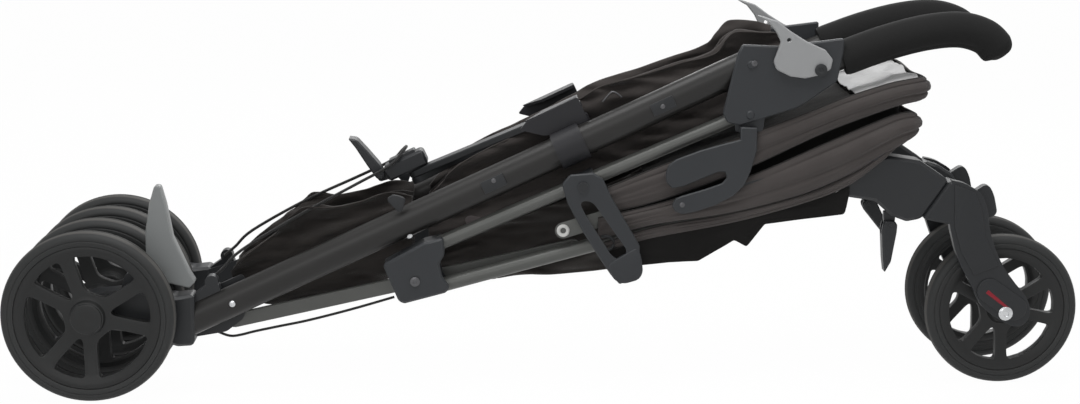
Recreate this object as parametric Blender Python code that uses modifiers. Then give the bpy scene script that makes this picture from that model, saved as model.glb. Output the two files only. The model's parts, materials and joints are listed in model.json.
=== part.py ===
"""Folded umbrella buggy, standing on its wheels. X runs from the rear wheels to the handles, Z is up.

The right side of the buggy is at -Y, nearest to the viewer, and the left side mirrors it at +Y.
Dimensions are in millimetres, and every point is scaled to metres as it is made.
"""

import math

import bmesh
import bpy
from mathutils import Matrix, Vector

MM = 0.001
GAP = 0.3

# Wheels and their places
REAR_AXLE = (-470.0, 89.0)
REAR_R = 89.0
REAR_TYRE_W = 24.0
REAR_INNER_Y = 32.0
REAR_OUTER_Y = 97.0
FRONT_AXLE = (479.0, 80.0)
FRONT_R = 80.0
FRONT_TYRE_W = 22.0
FRONT_Y = 50.0
TYRE_DEEP = 14.0
AXLE_R = 6.0

# Side frame, given on the right side as a distance from the middle plane
SIDE_Y = 65.0
MAIN_HALF_W = 12.0
MAIN_HALF_H = 16.0
MAIN_A = (-322.0, 98.5)
MAIN_TILT = math.radians(24.73)
MAIN_LOW_U = -60.0
MAIN_PLATE_U = 560.0
TUBE_STEPS = 18
LEG_HALF_W = 8.0
LEG_HALF_H = 7.5
STRUT_HALF_H = 7.5
PLATE_Y = (SIDE_Y + MAIN_HALF_W + GAP, 83.3)
FOOT_Y = (50.0, 80.0)
FLANGE_Y = (50.3, 52.3)

# Pivots of the fold, seen from the side
PIVOT_TOP = (206.0, 292.0)
PIVOT_KNEE = (-137.0, 119.7)
PIVOT_STRUT = (-328.0, 71.0)
PIVOT_STRUT_END = (27.5, 148.6)
PIVOT_CANOPY = (135.0, 199.0)
PIVOT_LEVER = (275.8, 338.7)
PIVOT_LOCK = (356.0, 173.0)
LOCK_FLIP = math.radians(35.0)
CABLE_KNOB = (-348.0, 117.0)
PIVOT_BRAKE = (-430.0, 123.0)
BRAKE_Y = (57.0, 71.0)
STRUT_Y = (44.7, 49.7)
LOWER_LEG_TILT = math.atan(0.268)

# Cross brace behind the main tubes, measured along them (u) and up from their axis (v)
BRACE_U = 400.0
BRACE_LEN = 186.0
BRACE_Y = 45.0
BRACE_TOP_V = (29.3, 36.3)
BRACE_LOW_V = (22.0, 29.0)
HUB_V = (36.6, 54.0)
BRACE_HOOD_V = 42.0

# Front foot and caster
STEM_DIR = (0.829, -0.559)
STEM_AT = (401.5, 200.6)
CASTER_Y = (45.0, 73.5)
ARM_Y = (64.0, 73.5)

GRIP_R = 18.5
HANDLE_R = 11.0

SIDES = (("right", -1.0), ("left", 1.0))


def start_scene():
    for obj in list(bpy.data.objects):
        bpy.data.objects.remove(obj, do_unlink=True)
    parts = bpy.data.collections.new("folded_buggy")
    cutters = bpy.data.collections.new("cutters")
    for found in (parts, cutters):
        bpy.context.scene.collection.children.link(found)
    return parts, cutters


PARTS, CUTTERS = start_scene()

COLOURS = {
    "frame": ((0.035, 0.035, 0.037), 0.42, 0.6),
    "plastic": ((0.028, 0.028, 0.030), 0.55, 0.0),
    "plate": ((0.050, 0.052, 0.055), 0.50, 0.0),
    "grey": ((0.33, 0.34, 0.35), 0.45, 0.0),
    "rim": ((0.030, 0.030, 0.032), 0.50, 0.0),
    "tyre": ((0.045, 0.045, 0.047), 0.70, 0.0),
    "foam": ((0.012, 0.012, 0.012), 0.90, 0.0),
    "steel": ((0.62, 0.63, 0.64), 0.30, 1.0),
    "fabric": ((0.040, 0.038, 0.040), 0.85, 0.0),
}


def paint(obj, kind):
    colour, rough, metal = COLOURS[kind]
    mat = bpy.data.materials.new(obj.name)
    mat.use_nodes = True
    shader = mat.node_tree.nodes["Principled BSDF"]
    shader.inputs["Base Color"].default_value = (*colour, 1.0)
    shader.inputs["Roughness"].default_value = rough
    shader.inputs["Metallic"].default_value = metal
    mat.diffuse_color = (*colour, 1.0)
    obj.data.materials.clear()
    obj.data.materials.append(mat)


def add_object(name, bm, kind=None, pivot=None):
    """Turns a bmesh in millimetres into an object in metres, with its origin on the pivot."""
    at = Vector(pivot) if pivot else Vector((0.0, 0.0, 0.0))
    bmesh.ops.recalc_face_normals(bm, faces=bm.faces)
    bmesh.ops.translate(bm, verts=bm.verts, vec=-at)
    bmesh.ops.scale(bm, verts=bm.verts, vec=(MM, MM, MM))
    mesh = bpy.data.meshes.new(name)
    bm.to_mesh(mesh)
    bm.free()
    obj = bpy.data.objects.new(name, mesh)
    obj.location = at * MM
    if kind:
        PARTS.objects.link(obj)
        paint(obj, kind)
    else:
        CUTTERS.objects.link(obj)
        obj.hide_render = True
        obj.display_type = "WIRE"
    return obj


def solve(obj, other, operation):
    other.name = f"{obj.name}_{operation.lower()}"
    step = obj.modifiers.new(operation.title(), "BOOLEAN")
    step.operation = operation
    step.object = other
    step.solver = "EXACT"
    return obj


def cut(obj, *others):
    for other in others:
        solve(obj, other, "DIFFERENCE")
    return obj


def join(obj, *others):
    for other in others:
        solve(obj, other, "UNION")
    return obj


def bevel(obj, width, segments=2, angle=35.0):
    step = obj.modifiers.new("Bevel", "BEVEL")
    step.width = width * MM
    step.segments = segments
    step.limit_method = "ANGLE"
    step.angle_limit = math.radians(angle)
    return obj


def smooth(obj):
    for face in obj.data.polygons:
        face.use_smooth = True
    return obj


def prism(name, points, y0, y1, kind=None, pivot=None):
    """A side outline of (x, z) points, extruded between two depths."""
    bm = bmesh.new()
    ring = [bm.verts.new((x, y0, z)) for x, z in points]
    face = bm.faces.new(ring)
    made = bmesh.ops.extrude_face_region(bm, geom=[face])
    moved = [v for v in made["geom"] if isinstance(v, bmesh.types.BMVert)]
    bmesh.ops.translate(bm, verts=moved, vec=(0.0, y1 - y0, 0.0))
    return add_object(name, bm, kind, pivot)


def lathe(name, profile, centre, kind=None, steps=40, pivot=None):
    """A profile of (radius, y) points turned about an axis along Y through centre (x, z)."""
    bm = bmesh.new()
    x, z = centre
    ring = [bm.verts.new((x + r, y, z)) for r, y in profile]
    edges = [bm.edges.new((a, b)) for a, b in zip(ring, ring[1:])]
    if profile[0][0] > 0.0:
        edges.append(bm.edges.new((ring[-1], ring[0])))
    bmesh.ops.spin(
        bm,
        geom=ring + edges,
        cent=(x, 0.0, z),
        axis=(0.0, 1.0, 0.0),
        angle=math.tau,
        steps=steps,
        use_merge=True,
    )
    bmesh.ops.remove_doubles(bm, verts=bm.verts, dist=0.01)
    return smooth(add_object(name, bm, kind, pivot))


def rod_y(name, centre, radius, y0, y1, kind=None, steps=20):
    return lathe(name, [(0.0, y0), (radius, y0), (radius, y1), (0.0, y1)], centre, kind, steps)


def sweep(name, path, y, half_w, half_h, kind=None, steps=14, pivot=None):
    """An oval tube along a path of (x, z) points at one depth, with closed ends."""
    bm = bmesh.new()
    rings = []
    for i, (x, z) in enumerate(path):
        before = Vector(path[max(i - 1, 0)])
        after = Vector(path[min(i + 1, len(path) - 1)])
        along = (after - before).normalized()
        ring = []
        for k in range(steps):
            turn = math.tau * k / steps
            side = half_w * math.cos(turn)
            rise = half_h * math.sin(turn)
            ring.append(bm.verts.new((x - along.y * rise, y + side, z + along.x * rise)))
        rings.append(ring)
    for first, second in zip(rings, rings[1:]):
        for k in range(steps):
            n = (k + 1) % steps
            bm.faces.new((first[k], first[n], second[n], second[k]))
    bm.faces.new(rings[0])
    bm.faces.new(rings[-1])
    obj = add_object(name, bm, kind, pivot)
    for face in obj.data.polygons:
        face.use_smooth = len(face.vertices) == 4
    return obj


def round_bar_points(start, end, half, steps=6):
    """The outline of a flat bar with round ends."""
    a = Vector(start)
    b = Vector(end)
    base = math.atan2(b.y - a.y, b.x - a.x)
    points = []
    for centre, first in ((b, base - math.pi / 2), (a, base + math.pi / 2)):
        for k in range(steps + 1):
            turn = first + math.pi * k / steps
            points.append((centre.x + half * math.cos(turn), centre.y + half * math.sin(turn)))
    return points


def bar(name, start, end, half_h, y0, y1, kind=None, pivot=None):
    return prism(name, round_bar_points(start, end, half_h), y0, y1, kind, pivot)


def on_main(u, v=0.0):
    """The (x, z) point u along the main tube and v above its axis."""
    c = math.cos(MAIN_TILT)
    s = math.sin(MAIN_TILT)
    return (MAIN_A[0] + u * c - v * s, MAIN_A[1] + u * s + v * c)


def round_path(points, radius, steps=4):
    """The same path with each inner corner turned into an arc-like curve."""
    path = [points[0]]
    for before, corner, after in zip(points, points[1:], points[2:]):
        c = Vector(corner)
        first = Vector(before) - c
        second = Vector(after) - c
        reach = min(radius, first.length * 0.45, second.length * 0.45)
        a = c + first.normalized() * reach
        b = c + second.normalized() * reach
        for k in range(steps + 1):
            t = k / steps
            p = a * (1 - t) ** 2 + c * 2 * t * (1 - t) + b * t**2
            path.append((p.x, p.y))
    path.append(points[-1])
    return path


def wheel_windows(name, centre, y0, y1, inner, outer):
    """One cutter for the six windows: three narrow ones inside the spoke pairs, three wide between."""
    bm = bmesh.new()
    x, z = centre
    for k in range(3):
        middle = math.radians(7.0 + 120.0 * k)
        narrow = [(inner + 15, -4), (outer, -12), (outer, 0), (outer, 12), (inner + 15, 4)]
        wide = [(inner, -13), (inner + 16, -24), (outer - 4, -31), (outer, -26), (outer, -9)]
        wide += [(outer, 9), (outer, 26), (outer - 4, 31), (inner + 16, 24), (inner, 13)]
        for shape, turn in ((narrow, middle), (wide, middle + math.radians(60.0))):
            ring = []
            for radius, degrees in shape:
                a = turn + math.radians(degrees)
                ring.append(bm.verts.new((x + radius * math.cos(a), y0, z + radius * math.sin(a))))
            face = bm.faces.new(ring)
            made = bmesh.ops.extrude_face_region(bm, geom=[face])
            moved = [v for v in made["geom"] if isinstance(v, bmesh.types.BMVert)]
            bmesh.ops.translate(bm, verts=moved, vec=(0.0, y1 - y0, 0.0))
    return add_object(name, bm)


def add_wheel(name, centre, y, radius, width, out, hub_r, blind=True):
    """Rim and tyre. out is the direction along Y in which the wheel's outer face looks."""
    w = width / 2
    seat = radius - TYRE_DEEP
    bore = AXLE_R + GAP if blind else 5.0 + GAP
    back = -w - 2.0
    cap = w + 3.0

    def place(profile):
        return [(r, y + out * d) for r, d in profile]

    disc = [(hub_r, 5.0), (seat - 9.0, 6.0), (seat - 6.0, w - 1.0), (seat, w - 1.0)]
    disc += [(seat, -w + 1.0), (seat - 6.0, -w + 1.0), (seat - 9.0, -2.0), (hub_r, -2.0)]
    if blind:
        profile = [(0.0, cap), (hub_r - 2.0, cap)] + disc
        profile += [(hub_r, back), (bore, back), (bore, cap - 3.5), (0.0, cap - 3.5)]
    else:
        profile = [(bore, cap - 2.0), (hub_r - 1.0, cap - 2.0)] + disc
        profile += [(hub_r, back), (bore, back)]
    rim = lathe(f"{name}_rim", place(profile), centre, "rim", 24, (centre[0], y, centre[1]))
    cut(rim, wheel_windows(f"{name}_windows", centre, y - 8.0, y + 9.0, hub_r + 7.0, seat - 9.5))
    inner = seat + GAP
    tread = [(inner, w), (radius - 5.0, w), (radius, w - 6.0)]
    tread += [(radius, -w + 6.0), (radius - 5.0, -w), (inner, -w)]
    lathe(f"{name}_tyre", place(tread), centre, "tyre", 36, (centre[0], y, centre[1]))


def add_rear_foot(side, s):
    outline = [(-470, 108), (-430, 112), (-384, 104), (-365, 106), (-366, 52)]
    outline += [(-384, 51), (-424, 66), (-470, 71), (-481, 75), (-487, 84), (-487, 95), (-481, 104)]
    foot = prism(f"{side}_rear_foot", outline, s * FOOT_Y[0], s * FOOT_Y[1], "plastic")
    bevel(foot, 3.0, 1)
    # A flange behind the tube carries the strut, and a saddle on top of the tube carries the cable knob.
    flange = [(-384, 98), (-362, 105), (-340, 112), (-318, 122), (-308, 104), (-318, 74), (-336, 60), (-366, 55), (-384, 60)]
    join(foot, prism("flange", flange, s * FLANGE_Y[0], s * FLANGE_Y[1]))
    saddle = [(-376, 90), (-372, 100), (-364, 106), (-354, 113), (-341, 114), (-339, 108), (-366, 94)]
    join(foot, prism("saddle", saddle, s * 56.0, s * 68.0))
    clear = GAP
    socket = [on_main(MAIN_LOW_U - clear), on_main(80.0)]
    cut(foot, sweep("socket", socket, s * SIDE_Y, MAIN_HALF_W + clear, MAIN_HALF_H + clear, None, TUBE_STEPS))
    join(foot, rod_y("cable_knob", CABLE_KNOB, 7.0, s * 56.0, s * 68.0, None, 14))
    cut(foot, rod_y("bore", REAR_AXLE, AXLE_R + GAP, s * 40.0, s * 90.0))
    y0 = STRUT_Y[0] - GAP
    pin = rod_y("pin", PIVOT_STRUT, 3.0, s * (y0 - 1.0), s * (FLANGE_Y[1] - 0.5))
    head = rod_y("head", PIVOT_STRUT, 5.5, s * (y0 - 3.0), s * y0)
    join(foot, pin, head)
    if side == "right":
        x, z = PIVOT_BRAKE
        lug = [(x - 12, z - 18), (x - 6, z + 4), (x, z + 6), (x + 6, z + 4), (x + 12, z - 18)]
        for y in (BRAKE_Y[0] - GAP, BRAKE_Y[1] + 3.0 + GAP):
            join(foot, prism("brake_lug", lug, s * (y - 3.0), s * y))
        join(foot, rod_y("brake_pin", PIVOT_BRAKE, 3.0, s * (BRAKE_Y[0] - 2.0), s * (BRAKE_Y[1] + 2.0), None, 12))
    ends = (REAR_INNER_Y - 10.0, REAR_OUTER_Y + 10.0)
    rod_y(f"{side}_rear_axle", REAR_AXLE, AXLE_R, s * ends[0], s * ends[1], "steel", 16)


def add_main_tube(side, s):
    low = on_main(MAIN_LOW_U)
    path = [low, on_main(300.0), on_main(MAIN_PLATE_U + 18.0)]
    tube = sweep(f"{side}_main_tube", path, s * SIDE_Y, MAIN_HALF_W, MAIN_HALF_H, "frame", TUBE_STEPS)
    handle = [on_main(MAIN_PLATE_U - 15.0, -4.0), (262.0, 331.0), (302.0, 347.5), (344.0, 362.8)]
    handle += [(385.0, 373.4), (420.0, 376.5), (447.0, 369.0), (455.0, 361.0)]
    handle = round_path(handle, 14.0, 2)
    join(tube, sweep("handle", handle, s * SIDE_Y, HANDLE_R, HANDLE_R, None, 12))
    grip = [(303.0, 347.9), (344.0, 362.8), (385.0, 373.4), (420.0, 376.5), (447.0, 369.0), (462.0, 354.0)]
    grip = round_path(grip, 14.0, 2)
    foam = sweep(f"{side}_grip", grip, s * SIDE_Y, GRIP_R, GRIP_R, "foam", 14)
    bevel(foam, 3.5, 1, 60.0)
    bore = HANDLE_R + GAP
    cut(foam, sweep("bore", handle[4:], s * SIDE_Y, bore, bore, None, 12))


def add_side_plate(side, s):
    outline = [(197, 364), (235, 362), (300, 370), (300, 357), (294, 326), (264, 305)]
    outline += [(254, 299), (196, 281), (183, 284), (178, 293), (192, 354)]
    y0, y1 = PLATE_Y
    plate = prism(f"{side}_side_plate", outline, s * y0, s * y1, "plate")
    bevel(plate, 1.5, 1)
    pin = rod_y("pivot", PIVOT_TOP, 5.0, s * (SIDE_Y - LEG_HALF_W - 2.0), s * (y1 - 1.0))
    head = rod_y("pivot_head", PIVOT_TOP, 8.0, s * (SIDE_Y - LEG_HALF_W - 4.0), s * (SIDE_Y - LEG_HALF_W - 2.0))
    join(plate, pin, head)
    dome = [(0.0, y1 + 1.6), (3.4, y1 + 1.4), (5.0, y1 - 0.5), (0.0, y1 - 0.5)]
    for at in (PIVOT_TOP, (206.3, 343.1)):
        shape = [(r, s * y) for r, y in dome]
        join(plate, lathe("rivet", shape, at, None, 12))
    lever_pin = rod_y("lever_pin", PIVOT_LEVER, 4.0, s * (y1 - 1.0), s * (y1 + 7.5), None, 14)
    lever_head = rod_y("lever_head", PIVOT_LEVER, 6.0, s * (y1 + 6.0), s * (y1 + 7.5), None, 14)
    join(plate, lever_pin, lever_head)
    body = [(210, 394), (216, 393), (231, 388), (246, 377), (262, 367), (280, 359), (288, 349), (286, 339)]
    body += [(275, 333), (260, 330), (245, 332), (231, 339), (228, 347), (232, 358), (235, 367), (230, 377), (222, 387)]
    at = (PIVOT_LEVER[0], s * (y1 + 3.0), PIVOT_LEVER[1])
    lever = prism(f"{side}_release_lever", body, s * (y1 + GAP), s * (y1 + 5.7), "grey", at)
    bevel(lever, 1.2, 1)
    cut(lever, rod_y("lever_bore", PIVOT_LEVER, 4.0 + GAP, s * (y1 - 2.0), s * (y1 + 9.0), None, 14))
    cut(lever, rod_y("lever_hole", (243.0, 369.0), 2.4, s * (y1 - 2.0), s * (y1 + 9.0), None, 10))


def add_tube_sleeve(side, s):
    a, b, c = on_main(BRACE_U - 35.0), on_main(BRACE_U - 18.0), on_main(BRACE_U - 4.0)
    sleeve = sweep(f"{side}_tube_sleeve", [a, b, c], s * SIDE_Y, MAIN_HALF_W + 3.2, MAIN_HALF_H + 3.2, "plastic", TUBE_STEPS)
    bore = [on_main(BRACE_U - 50.0), on_main(BRACE_U + 30.0)]
    cut(sleeve, sweep("sleeve_bore", bore, s * SIDE_Y, MAIN_HALF_W + GAP, MAIN_HALF_H + GAP, None, TUBE_STEPS))
    # The ear that carries the brace link stands on the sleeve's inner side.
    y1 = SIDE_Y - MAIN_HALF_W - 1.0
    low, high = BRACE_U - 16.0, BRACE_U + 10.0
    ear = [on_main(low, -6.0), on_main(high, -6.0), on_main(high, 21.7), on_main(low, 21.7)]
    join(sleeve, prism("ear", ear, s * (BRACE_Y - 5.0), s * y1))


def uv_matrix():
    """Turns (u, y, v) on the main tube's frame into (x, y, z)."""
    c = math.cos(MAIN_TILT)
    s = math.sin(MAIN_TILT)
    turn = Matrix(((c, 0, -s), (0, 1, 0), (s, 0, c)))
    return Matrix.Translation((MAIN_A[0], 0.0, MAIN_A[1])) @ turn.to_4x4()


def flat_on_main(name, points, v0, v1, kind=None, pivot=None):
    """An outline of (u, y) points over the main tubes, extruded from v0 to v1."""
    bm = bmesh.new()
    ring = [bm.verts.new((u, y, v0)) for u, y in points]
    face = bm.faces.new(ring)
    made = bmesh.ops.extrude_face_region(bm, geom=[face])
    moved = [v for v in made["geom"] if isinstance(v, bmesh.types.BMVert)]
    bmesh.ops.translate(bm, verts=moved, vec=(0.0, 0.0, v1 - v0))
    bmesh.ops.transform(bm, matrix=uv_matrix(), verts=bm.verts)
    return add_object(name, bm, kind, pivot)


def disc_points(centre, radius, steps=14):
    return [
        (centre[0] + radius * math.cos(math.tau * k / steps), centre[1] + radius * math.sin(math.tau * k / steps))
        for k in range(steps)
    ]


def add_brace():
    """Two links hinged on the main tubes, meeting at a hub with the foot pedal."""
    drop = math.sqrt(BRACE_LEN**2 - BRACE_Y**2)
    hub_u = BRACE_U - drop
    for (side, s), (v0, v1) in zip(SIDES, (BRACE_TOP_V, BRACE_LOW_V)):
        start = (BRACE_U, s * BRACE_Y)
        x, z = on_main(BRACE_U, (v0 + v1) / 2)
        points = round_bar_points(start, (hub_u, 0.0), 9.0)
        link = flat_on_main(f"{side}_brace_link", points, v0, v1, "frame", (x, s * BRACE_Y, z))
        bevel(link, 0.8, 1)
        cut(link, flat_on_main("link_bore", disc_points(start, 3.3), v0 - 2.0, v1 + 2.0))
        cut(link, flat_on_main("hub_bore", disc_points((hub_u, 0.0), 3.3), v0 - 2.0, v1 + 2.0))
        # The hinge pin stands on the sleeve's ear and its head holds the link down.
        sleeve = bpy.data.objects[f"{side}_tube_sleeve"]
        join(sleeve, flat_on_main("pin", disc_points(start, 3.0), 20.0, v1 + 1.5))
        join(sleeve, flat_on_main("pin_head", disc_points(start, 6.0), v1 + GAP, v1 + 2.3))
        wall = [on_main(BRACE_U + 8.0, 14.5), on_main(BRACE_U + 8.0, BRACE_HOOD_V), on_main(BRACE_U - 52.0, BRACE_HOOD_V - 2.0)]
        wall += [on_main(BRACE_U - 60.0, BRACE_HOOD_V - 6.0), on_main(BRACE_U - 40.0, 20.0), on_main(BRACE_U - 22.0, 14.5)]
        join(sleeve, prism("hood_wall", wall, s * (BRACE_Y + 9.5), s * (BRACE_Y + 12.5)))
        roof = [(BRACE_U + 8.0, s * (BRACE_Y + 12.0)), (BRACE_U + 8.0, s * (BRACE_Y - 7.0))]
        roof += [(BRACE_U - 30.0, s * (BRACE_Y - 7.0)), (BRACE_U - 52.0, s * (BRACE_Y + 12.0))]
        join(sleeve, flat_on_main("hood_roof", roof, BRACE_HOOD_V - 3.0, BRACE_HOOD_V))
    x, z = on_main(hub_u, HUB_V[0])
    block = [(hub_u + 16, -12), (hub_u + 16, 12), (hub_u - 30, 12), (hub_u - 30, -12)]
    hub = flat_on_main("brace_hub", block, HUB_V[0], HUB_V[1], "plastic", (x, 0.0, z))
    bevel(hub, 2.5, 1)
    top = [(hub_u + 8, -8), (hub_u + 8, 8), (hub_u - 22, 8), (hub_u - 22, -8)]
    join(hub, flat_on_main("hub_top", top, HUB_V[1] - 2.0, HUB_V[1] + 3.0))
    # The hub's pin ends just above the lower link, whose end is the brace's open pivot.
    join(hub, flat_on_main("hub_pin", disc_points((hub_u, 0.0), 3.0), BRACE_LOW_V[1] + GAP, HUB_V[0] + 2.0))
    pedal_at = on_main(hub_u - 36.0, 46.0)
    lug = [on_main(hub_u - 28.0, 38.0), on_main(hub_u - 40.0, 40.0), on_main(hub_u - 42.0, 48.0)]
    lug += [on_main(hub_u - 34.0, 52.0), on_main(hub_u - 28.0, 50.0)]
    join(hub, prism("pedal_lug", lug, -3.5, 3.5))
    join(hub, rod_y("pedal_pin", pedal_at, 2.2, -11.5, 11.5, None, 12))
    at = (pedal_at[0], 0.0, pedal_at[1])
    blade = [on_main(hub_u - 41.0, 45.0), on_main(hub_u - 36.0, 41.0), on_main(hub_u - 31.0, 45.0)]
    blade += [on_main(hub_u - 32.0, 58.0), on_main(hub_u - 37.0, 76.0), on_main(hub_u - 42.0, 92.0)]
    blade += [on_main(hub_u - 50.0, 97.0), on_main(hub_u - 47.0, 84.0), on_main(hub_u - 44.0, 62.0)]
    pedal = prism("foot_pedal", blade, -11.0, 11.0, "plastic", at)
    bevel(pedal, 1.5, 1)
    slot = [on_main(hub_u - 60.0, 30.0), on_main(hub_u - 20.0, 30.0)]
    slot += [on_main(hub_u - 20.0, 54.0), on_main(hub_u - 60.0, 54.0)]
    cut(pedal, prism("pedal_slot", slot, -3.8, 3.8))
    cut(pedal, rod_y("pedal_bore", pedal_at, 2.5, -20.0, 20.0, None, 12))


def add_upper_leg(side, s):
    a = Vector(PIVOT_TOP)
    slope = Vector((-0.9198, -0.3923))
    end = a + slope * 362.0
    at = (PIVOT_TOP[0], s * SIDE_Y, PIVOT_TOP[1])
    path = [(a.x - slope.x * 9.0, a.y - slope.y * 9.0), (end.x, end.y)]
    leg = sweep(f"{side}_upper_leg", path, s * SIDE_Y, LEG_HALF_W, LEG_HALF_H, "frame", 16, at)
    cut(leg, rod_y("top_bore", PIVOT_TOP, 5.0 + GAP, s * 50.0, s * 76.0, None, 16))
    knee = [(-170, 137), (-128, 160), (-108, 165), (-106, 148), (-112, 138), (-109, 124), (-101, 112)]
    knee += [(-106, 107), (-148, 96), (-154, 98), (-159, 110)]
    y0, y1 = SIDE_Y - 12.0, SIDE_Y + 17.0
    bracket = prism(f"{side}_knee", knee, s * y0, s * y1, "plastic", at)
    bevel(bracket, 2.0, 1)
    clear = GAP
    path = [(end.x - slope.x * 60.0, end.y - slope.y * 60.0), (end.x + slope.x * clear, end.y + slope.y * clear)]
    cut(bracket, sweep("leg_socket", path, s * SIDE_Y, LEG_HALF_W + clear, LEG_HALF_H + clear))
    # Between its cheeks the knee is open below and behind, where the lower leg swings through.
    fork = [(-60, 60), (-60, 138), (-118, 136), (-125, 139), (-137, 145), (-150, 146), (-180, 152), (-180, 60)]
    cut(bracket, prism("knee_fork", fork, s * (SIDE_Y - 8.6), s * (SIDE_Y + 8.6)))
    join(bracket, rod_y("knee_pin", PIVOT_KNEE, 3.5, s * (y0 + 1.0), s * (y1 + 1.5), None, 14))


def lower_leg_point(along, up=0.0):
    base = Vector((17.0, 145.8))
    d = Vector((math.cos(LOWER_LEG_TILT), math.sin(LOWER_LEG_TILT)))
    p = base + d * along + Vector((-d.y, d.x)) * up
    return (p.x, p.y)


def add_lower_leg(side, s):
    at = (PIVOT_KNEE[0], s * SIDE_Y, PIVOT_KNEE[1])
    path = [lower_leg_point(-150.0), lower_leg_point(325.0)]
    leg = sweep(f"{side}_lower_leg", path, s * SIDE_Y, LEG_HALF_W, LEG_HALF_H, "frame", 16, at)
    x, z = PIVOT_KNEE
    tab = [(x - 7.5, z - 20), (x - 7.5, z + 2), (x - 5, z + 6), (x, z + 7.5), (x + 5, z + 6), (x + 8, z), (x + 16, z - 12)]
    join(leg, prism("leg_tab", tab, s * (SIDE_Y - 6.0), s * (SIDE_Y + 6.0)))
    cut(leg, rod_y("knee_bore", PIVOT_KNEE, 3.5 + GAP, s * 50.0, s * 80.0, None, 14))
    foot = [(300, 206), (306, 236), (322, 244), (352, 247), (384, 242), (415, 221), (388, 181)]
    foot += [(372, 178), (356, 184), (338, 200), (318, 203)]
    front = prism(f"{side}_front_foot", foot, s * CASTER_Y[0], s * CASTER_Y[1], "plastic", at)
    bevel(front, 3.0, 1)
    clear = GAP
    path = [lower_leg_point(200.0), lower_leg_point(325.0 + clear)]
    cut(front, sweep("leg_end", path, s * SIDE_Y, LEG_HALF_W + clear, LEG_HALF_H + clear))
    stem = Vector(STEM_AT)
    d = Vector(STEM_DIR)
    y = s * sum(CASTER_Y) / 2
    cut(front, stem_rod("stem_bore", stem - d * 27.0, stem + d * 5.0, y, 6.3))
    # Lugs for the swivel lock below the foot.
    x, z = PIVOT_LOCK
    lug = [(x - 6, z + 4), (x - 6, z + 14), (x + 6, z + 14), (x + 6, z + 4), (x + 3, z - 4), (x - 3, z - 4)]
    join(front, prism("lock_lug", lug, s * 56.0, s * 62.5))
    join(front, rod_y("lock_pin", PIVOT_LOCK, 2.0, s * 51.0, s * 67.5, None, 12))
    claw = [(x + 5, z + 5), (x + 8, z), (x + 7.5, z - 8), (x + 5, z - 24), (x + 2.5, z - 39), (x - 4, z - 51)]
    claw += [(x - 6, z - 36), (x - 7, z - 22), (x - 8, z - 6), (x - 7, z + 2), (x - 4, z + 5)]
    if side == "left":
        claw = turned(claw, PIVOT_LOCK, LOCK_FLIP)
    lock = prism(f"{side}_swivel_lock", claw, s * 51.5, s * 67.0, "plastic", (x, s * 59.0, z))
    bevel(lock, 1.5, 1)
    slot = [(x - 20, z - 10), (x + 20, z - 10), (x + 20, z + 16), (x - 20, z + 16)]
    if side == "left":
        slot = turned(slot, PIVOT_LOCK, LOCK_FLIP)
    cut(lock, prism("lock_slot", slot, s * 55.7, s * 62.8))
    cut(lock, rod_y("lock_bore", PIVOT_LOCK, 2.3, s * 45.0, s * 75.0, None, 12))


def turned(points, centre, angle):
    c, s = math.cos(angle), math.sin(angle)
    return [
        (centre[0] + (x - centre[0]) * c - (z - centre[1]) * s, centre[1] + (x - centre[0]) * s + (z - centre[1]) * c)
        for x, z in points
    ]


def stem_rod(name, start, end, y, radius, kind=None, steps=16):
    return sweep(name, [(start.x, start.y), (end.x, end.y)], y, radius, radius, kind, steps)


def add_caster(side, s):
    stem = Vector(STEM_AT)
    d = Vector(STEM_DIR)
    y = s * sum(CASTER_Y) / 2
    at = (stem.x, y, stem.y)
    lift = d * GAP
    crown = [(415 + lift.x, 221 + lift.y), (430, 216), (446, 206), (455, 190), (456, 172), (430, 172)]
    crown += [(388 + lift.x, 181 + lift.y)]
    fork = prism(f"{side}_fork", crown, s * CASTER_Y[0], s * CASTER_Y[1], "plastic", at)
    bevel(fork, 2.5, 1)
    arm = [(418, 221.5), (430, 219), (449, 208), (456, 191), (459, 169), (465, 150), (475, 129), (488, 112)]
    arm += [(500, 98), (505, 87), (505, 75), (498, 66), (488, 65), (466, 77), (453, 88), (447, 100)]
    arm += [(440, 114), (430, 131), (423, 150), (418, 169), (414, 192)]
    join(fork, prism("arm", arm, s * ARM_Y[0], s * ARM_Y[1]))
    fin = [(440, 204), (458, 216), (465, 205), (470, 182), (450, 176)]
    join(fork, prism("fin", fin, s * 50.0, s * 60.0))
    join(fork, stem_rod("stem", stem - d * 24.0, stem + d * 12.0, y, 6.0))
    cut(fork, rod_y("axle_bore", FRONT_AXLE, 5.0 + GAP, s * 55.0, s * 90.0, None, 16))
    y0 = FRONT_Y - 12.0
    y1 = ARM_Y[1]
    profile = [(0.0, y0), (5.0, y0), (5.0, y1 + GAP), (7.5, y1 + GAP), (7.5, y1 + 2.0), (6.0, y1 + 3.0), (0.0, y1 + 3.0)]
    lathe(f"{side}_front_axle", [(r, s * v) for r, v in profile], FRONT_AXLE, "steel", 16)


def add_strut(side, s):
    at = (PIVOT_STRUT[0], s * STRUT_Y[0], PIVOT_STRUT[1])
    y0, y1 = s * STRUT_Y[0], s * STRUT_Y[1]
    strut = bar(f"{side}_strut", PIVOT_STRUT, PIVOT_STRUT_END, STRUT_HALF_H, y0, y1, "frame", at)
    bevel(strut, 0.8, 1)
    cut(strut, rod_y("strut_bore", PIVOT_STRUT, 3.3, s * 40.0, s * 55.0, None, 14))
    reach = SIDE_Y - LEG_HALF_W - GAP
    join(strut, rod_y("strut_boss", PIVOT_STRUT_END, 5.0, s * (STRUT_Y[1] - 2.0), s * reach, None, 14))


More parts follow.
